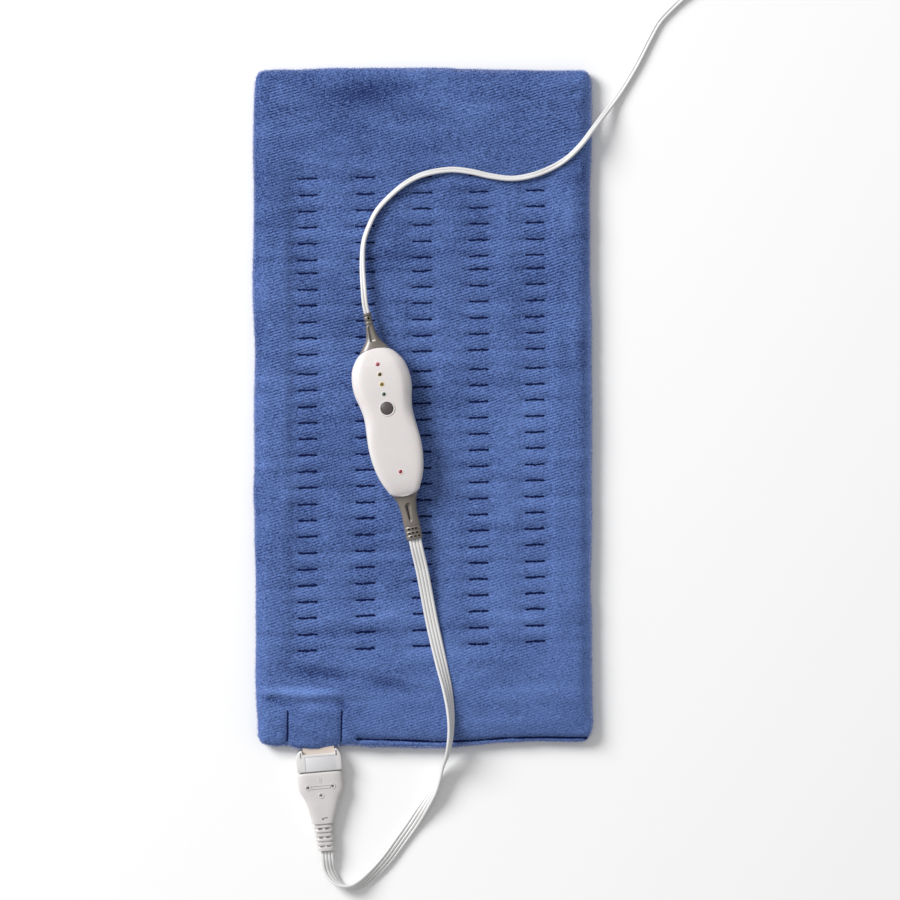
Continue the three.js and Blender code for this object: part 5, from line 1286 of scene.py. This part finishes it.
# Columns: share of the length, width, thickness, and how far the middle lies to the left
rearStations = [
    (0, 0.93, 0.9, 0.3), (0.012, 0.965, 0.95, 0.3), (0.03, 0.99, 0.985, 0.3), (0.06, 1, 1, 0.4),
    (0.17, 1, 1, 0.4), (0.28, 0.995, 1, 0.2), (0.36, 0.955, 0.99, 0.1), (0.44, 0.865, 0.97, 0),
    (0.52, 0.775, 0.94, 0), (0.62, 0.695, 0.91, 0.1), (0.74, 0.615, 0.87, 0.5), (0.87, 0.535, 0.83, 0.9),
    (1, 0.462, 0.8, 1.3),
]
rings = [
    superRing(64, y, rear["neckHalf"], rear["neckHigh"], rear["neckHigh"], axis, rear["power"])
    for y in (0.2, rear["start"])
]
for n in range(61):
    share = (n / 60) ** 1.2
    across, tall, left = between(rearStations, share)
    y, tall = rear["start"] - share * rear["length"], tall * rear["high"]
    ring = superRing(64, y, across * rear["half"], tall, tall, axis, rear["power"])
    for point in ring:
        point.x -= left
    rings.append(ring)
bm = loft(bmesh.new(), rings)
rearHousing = makePiece("rearHousing", bm, connectorPlace, housingMaterial)
top = axis + rear["high"]
bm = bmesh.new()
for x, y in rear["pits"]:
    addDrum(bm, rear["pitRadius"], top - rear["pitDeep"], 20, x, y, 24)
carve(rearHousing, bm, connectorPlace)
# Raised marks: a rim round each pit, and a frame of lines between them
bm = bmesh.new()
for x, y in rear["pits"]:
    turnProfile(bm, [(2, -0.4), (2, 0.12), (2.3, 0.18), (2.6, 0), (2.6, -0.4), (2, -0.4)], (x, y, top), 28)
for low, high, proud in (
    ((-9.6, -12.5), (7.8, -11.9), 0.4), ((-9.6, -14.9), (7.8, -14.3), 0.4),
    ((-9.65, -14.4), (-9.15, -12.4), 0.4), ((7.35, -14.4), (7.85, -12.4), 0.4),
    ((-1.75, -9.4), (-1.25, -5.4), 0.3), ((-0.45, -9.4), (0.05, -5.4), 0.3),
):
    addBox(bm, (*low, top - 0.5), (*high, top + proud))
mouldedMarks = makePiece("mouldedMarks", bm, connectorPlace, housingMaterial)
# The arrow has a head and a shaft
bm = bmesh.new()
mark = bmesh.ops.create_cone(
    bm, cap_ends=True, segments=3, radius1=1.15, radius2=1.15, depth=0.9,
)["verts"]
bmesh.ops.translate(bm, vec=(-1.3, -42.4, axis + 5.1), verts=mark)
addBox(bm, (-0.2, -41.9, axis + 4.7), (3, -41.3, axis + 5.5))
printedArrow = makePiece("printedArrow", bm, connectorPlace, markMaterial)

relief = {
    "start": -47.2, "length": 24, "half": 8.9, "tip": 7.3, "high": 5.4, "tipHigh": 4.1, "left": 1.5,
    "tipLeft": 0.8, "valleys": (0.8, 8, 16), "valleyHalf": 0.9, "valleyDeep": 1.5, "slots": (4.1, 12, 20.1),
    "bedHalf": 1.3, "bedDeep": 0.45, "slotLow": 2.2, "slotHigh": 8,
    "slotNear": 1.2, "slotFar": 4.9, "slotHalf": 0.85,
}
rings = []
for n in range(121):
    share = n / 120
    run = share * relief["length"]
    a = relief["half"] + (relief["tip"] - relief["half"]) * share
    b = relief["high"] + (relief["tipHigh"] - relief["high"]) * share
    # Valleys all round take turns with rows of slots, and both lie between rounded ridges
    near = min(abs(run - place) for place in relief["valleys"])
    inset = relief["valleyDeep"] * max(0, 1 - (near / relief["valleyHalf"]) ** 3)
    near = min(abs(run - place) for place in relief["slots"])
    inset += relief["bedDeep"] * max(0, 1 - (near / relief["bedHalf"]) ** 2)
    ring = superRing(48, relief["start"] - run, a - inset, b - inset, b - inset, axis, 3)
    for point in ring:
        point.x -= relief["left"] + (relief["tipLeft"] - relief["left"]) * share
    rings.append(ring)
bm = loft(bmesh.new(), rings)
bendRelief = makePiece("bendRelief", bm, connectorPlace, housingMaterial)
bm = bmesh.new()
for place in relief["slots"]:
    y = relief["start"] - place
    middle = -relief["left"] + (relief["left"] - relief["tipLeft"]) * place / relief["length"]
    for face in (1, -1):
        z0, z1 = sorted((axis + face * relief["slotLow"], axis + face * relief["slotHigh"]))
        for hand in (1, -1):
            x0, x1 = sorted((middle + hand * relief["slotNear"], middle + hand * relief["slotFar"]))
            addBox(bm, (x0, y - relief["slotHalf"], z0), (x1, y + relief["slotHalf"], z1))
carve(bendRelief, bm, connectorPlace)
softenEdges(bendRelief, 0.18, 50)
for piece, replaced in (
    (frontHousing, "connector_front_housing"), (rearHousing, "connector_rear_housing"),
    (bendRelief, "connector_bend_relief"), (mouldedMarks, None), (printedArrow, None),
    *((panel, None) for panel in thumbPanels),
):
    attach(piece, "control_lead")
    if replaced:
        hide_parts(replaced)
print("connector made")

# Pile: loose fibres that stand up off the cloth and out past its edge, none where something lies on it
pileMaterial, tree, shader, place = startMaterial(
    "loosePileFibre", Roughness=0.9, IOR=1.4, Sheen_Weight=0.1,
)
speck = addNode(tree, "TexNoise", None, {"Vector": place, "Scale": 800, "Detail": 1})
pale = addNode(tree, "MapRange", None, {"Value": speck, "From Min": 0.35, "From Max": 0.65})
shades = addNode(
    tree, "Mix", {"data_type": "RGBA"}, {0: pale, 6: hexColour("#2f4c93"), 7: hexColour("#7e9bdc")},
)
# Along the edges the fibres are painted paler: painted light shining through the free-standing fibres there
beyond = beyondRectangle(tree, place, pad["halfWidth"] - 5.5, pad["halfLength"] - 6)
paintedBacklightShare = addNode(tree, "MapRange", None, {"Value": beyond, "From Max": 4 * mm})
dress(tree, shader, paintedBacklightShare, (shades.outputs[2], "#a9b3dd"))
pile = {
    "count": 42000, "length": 1.3, "width": 0.36, "edgeCount": 16000, "edgeLength": 1.7, "edgeWidth": 0.32,
    "edgeBand": 9, "clear": 9,
}
lying = [
    surfaceTree(thing) for thing in (flatLead, mainsCord, lowerShell, upperBoot, lowerBoot, frontHousing)
]


def addFibre(bm, root, lean, length, width):
    aside = lean.cross(Vector((0, 0, 1))).normalized() * width / 2
    bm.faces.new([bm.verts.new(root - aside), bm.verts.new(root + aside), bm.verts.new(root + lean * length)])


bm = bmesh.new()
for k in range(pile["count"]):
    x = dice.uniform(-pad["halfWidth"], pad["halfWidth"])
    y = dice.uniform(-pad["halfLength"], pad["halfLength"])
    height = coverHeight(x, y)
    start, up = Vector((x, y, height - 1)) * mm, Vector((0, 0, 1))
    if height < 2 or any(surface.ray_cast(start, up, pile["clear"] * mm)[0] for surface in lying):
        continue
    turn, rise = dice.uniform(0, 2 * math.pi), dice.uniform(0.15, 0.6)
    lean = Vector((math.cos(turn), math.sin(turn), rise)).normalized()
    addFibre(bm, Vector((x, y, height - 0.1)), lean, pile["length"] * dice.uniform(0.6, 1.2), pile["width"])
rim = [v.co / mm for v in cover.data.vertices if -1.5 < v.co.z / mm - pad["seam"] < 5]
for k in range(pile["edgeCount"]):
    spot = dice.choice(rim)
    if max(abs(spot.x) - pad["halfWidth"], abs(spot.y) - pad["halfLength"]) < -pile["edgeBand"]:
        continue
    jitter = Vector((dice.uniform(-1.2, 1.2), dice.uniform(-1.2, 1.2), dice.uniform(-1, 1)))
    out = Vector((spot.x / pad["halfWidth"], spot.y / pad["halfLength"], 0))
    lean = Vector((math.copysign(abs(out.x) ** 12, out.x), math.copysign(abs(out.y) ** 12, out.y), 0))
    lean.normalize()
    lean += Vector((dice.uniform(-0.6, 0.6), dice.uniform(-0.6, 0.6), dice.uniform(-0.3, 0.5)))
    slide = Vector((-lean.y, lean.x, 0)) * jitter.x
    length = pile["edgeLength"] * dice.uniform(0.3, 1)
    addFibre(bm, spot + slide, lean.normalized(), length, pile["edgeWidth"])
plushPile = makePiece("plushPile", bm, rowPlace, pileMaterial, allSmooth)
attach(plushPile, "pad")
print(f"pile raised, {len(plushPile.data.polygons)} fibres")

# Plug: moulded vinyl grip that narrows to a ribbed relief, standing on its side
plugMaterial = vinylMaterial("mouldedPlugVinyl", "#dcd9d1", "#d3cfc5", 0.4)
plugStations = [
    (0, 0.56, 0.55), (0.08, 0.72, 0.68), (0.24, 0.86, 0.84), (0.42, 0.8, 0.86), (0.6, 0.84, 0.93),
    (0.78, 0.97, 1), (0.95, 1, 1), (1, 0.95, 0.97),
]
rings = []
for n in range(53):
    y = n * 0.25
    wave = 0.5 - 0.5 * math.cos(2 * math.pi * (y - 0.6) / (plug["relief"] / 3))
    inset = plug["ribDeep"] * (1 - min(1, wave * 2.2))
    half, tall = plug["neckHalf"] - inset, plug["neckHigh"] - inset
    rings.append(superRing(48, y, half, tall, tall, 0, 3))
for n in range(61):
    share = n / 60
    across, tall = between(plugStations, share)
    inset = 1.1 * (1 - rolled((1 - share) * plug["body"], 1.4, 2))
    across, tall = across * plug["halfThickness"] - inset, tall * plug["halfWidth"] - inset
    rings.append(superRing(48, plug["relief"] + 0.02 + share * plug["body"], across, tall, tall, 0, 3.4))
plugBody = makePiece("plugBody", loft(bmesh.new(), rings), plugPlace, plugMaterial)
bm = bmesh.new()
face = plug["relief"] + plug["body"]
for width, z in plug["blades"]:
    addBox(bm, (-width / 2 - 0.3, face - 6.3, z - 1.05), (width / 2 + 0.3, face + 3, z + 1.05))
carve(plugBody, bm, plugPlace)
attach(plugBody, "control_lead")
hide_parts("plug_body")

# Tie round the coil: a thin paper-covered wire
tieMaterial = vinylMaterial("paperTwistTie", "#e9e7e1", "#dcd9d2", 0.7)
tie = {"angle": 200, "half": 2.6, "thick": 0.45, "inner": 18.6, "outer": 42.4, "low": 0.02, "high": 13.2}
across, middleX = (tie["outer"] - tie["inner"]) / 2, (tie["inner"] + tie["outer"]) / 2
tall, middleZ = (tie["high"] - tie["low"]) / 2, (tie["low"] + tie["high"]) / 2
ring = []
for k in range(32):
    c, s = math.cos(2 * math.pi * k / 32), math.sin(2 * math.pi * k / 32)
    x = middleX + math.copysign(abs(c) ** 0.4, c) * across
    ring.append((x, middleZ + math.copysign(abs(s) ** 0.4, s) * tall))
rings = [[Vector((x, y, z)) for x, z in ring] for y in (-tie["half"], 0, tie["half"])]
tiePlace = turnedPlace((coilX, coilY, 0), tie["angle"])
coilTie = makePiece("coilTie", loft(bmesh.new(), rings, capped=False), tiePlace, tieMaterial, 60)
addWall(coilTie, tie["thick"])
settle(coilTie, 60)
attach(coilTie, "control_lead")
print("plug and tie made")


# Finishes for the CAD nodes that stay as they are
def flecked(name, colour, shade, scale, **values):
    material, tree, shader, place = startMaterial(name, **values)
    fleck = addNode(tree, "TexNoise", None, {"Vector": place, "Scale": scale, "Detail": 4})
    dress(tree, shader, fleck, (shade, colour), fleck, 0.2, 0.05)
    return material


nylonCream = flecked("creamNylon", "#dccfc4", "#d2c3b6", 200, Roughness=0.45)
needleFelt = flecked("needleFelt", "#ebe8e1", "#d8d4ca", 700, Roughness=0.95, Sheen_Weight=0.3)
wireJacket = flecked("siliconeJacket", "#d8c9a2", "#c9b98f", 300, Roughness=0.5)
solderMask = flecked("greenSolderMask", "#2f6a45", "#28593b", 260, Roughness=0.35, Coat_Weight=0.4)
phenolic = flecked("blackPhenolic", "#232325", "#19191b", 900, Roughness=0.45)
filmYellow = flecked("yellowFilmBox", "#d9b32c", "#cfa523", 500, Roughness=0.4)
fuseGlass = flecked("fuseGlass", "#cfd8d4", "#c4cdc9", 100, Roughness=0.05, IOR=1.5, Transmission_Weight=0.6)
aluminium = flecked("rolledAluminium", "#c0c2c4", "#aeb0b3", 600, Roughness=0.35, Metallic=1.0)
brass = flecked("rolledBrass", "#d1ab58", "#bb9646", 500, Roughness=0.28, Metallic=1.0)
nickel = flecked("nickelPlatedBrass", "#cfcdc6", "#bdbbb3", 700, Roughness=0.22, Metallic=1.0)
nodeFinish = {
    "terminal_block": nylonCream, "carrier_sheet": needleFelt, "batting": needleFelt,
    "heating_wire": wireJacket, "circuit_board": solderMask, "push_switch": phenolic,
    "mains_header": phenolic, "control_chip": phenolic, "power_switch": phenolic, "lead_header": phenolic,
    "fuse": fuseGlass, "capacitor": filmYellow, "heat_spreader": aluminium, "plug_blade_wide": nickel,
    "plug_blade_narrow": nickel,
}
for name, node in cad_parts.items():
    finish = nodeFinish.get(name, brass if name.startswith(("terminal_sleeve", "connector_pin")) else None)
    if finish and not node.hide_render:
        node.data.materials.clear()
        node.data.materials.append(finish)
        if name == "terminal_block" or name.startswith("plug_blade"):
            weld = node.modifiers.new("weld", "WELD")
            weld.merge_threshold = 0.01 * mm
            softenEdges(node, 0.3, 40)
print("CAD nodes finished")

# Floor, backdrop and light
floorMaterial, tree, shader, _ = startMaterial("paleFloor", Roughness=0.9, Specular_IOR_Level=0.1)
seen = addNode(tree, "LightPath").outputs["Is Camera Ray"]
dress(tree, shader, seen, ("#e2e2e2", "#ffffff"))
bm = bmesh.new()
bmesh.ops.create_grid(bm, x_segments=1, y_segments=1, size=6000)
floor = makePiece("floor", bm, rowPlace, floorMaterial)

lights = {"world": 0.43, "key": 334, "keySize": 2.8, "keyPlace": (-3.8, 2.56, 2.86), "keyAim": (0, 0, 0)}
world = bpy.data.worlds.new("studio")
bpy.context.scene.world = world
world.use_nodes = True
background = world.node_tree.nodes["Background"]
background.inputs[0].default_value = (1.0, 1.0, 1.0, 1.0)
background.inputs[1].default_value = lights["world"]
keyData = bpy.data.lights.new("softbox", "AREA")
keyData.shape = "DISK"
keyData.size = lights["keySize"]
keyData.energy = lights["key"]
keyLight = bpy.data.objects.new("softbox", keyData)
bpy.context.scene.collection.objects.link(keyLight)
keyLight.location = lights["keyPlace"]
keyLight.rotation_euler = (Vector(lights["keyAim"]) - keyLight.location).to_track_quat("-Z", "Y").to_euler()
bpy.context.scene.view_settings.view_transform = "Standard"
print("stage lit")
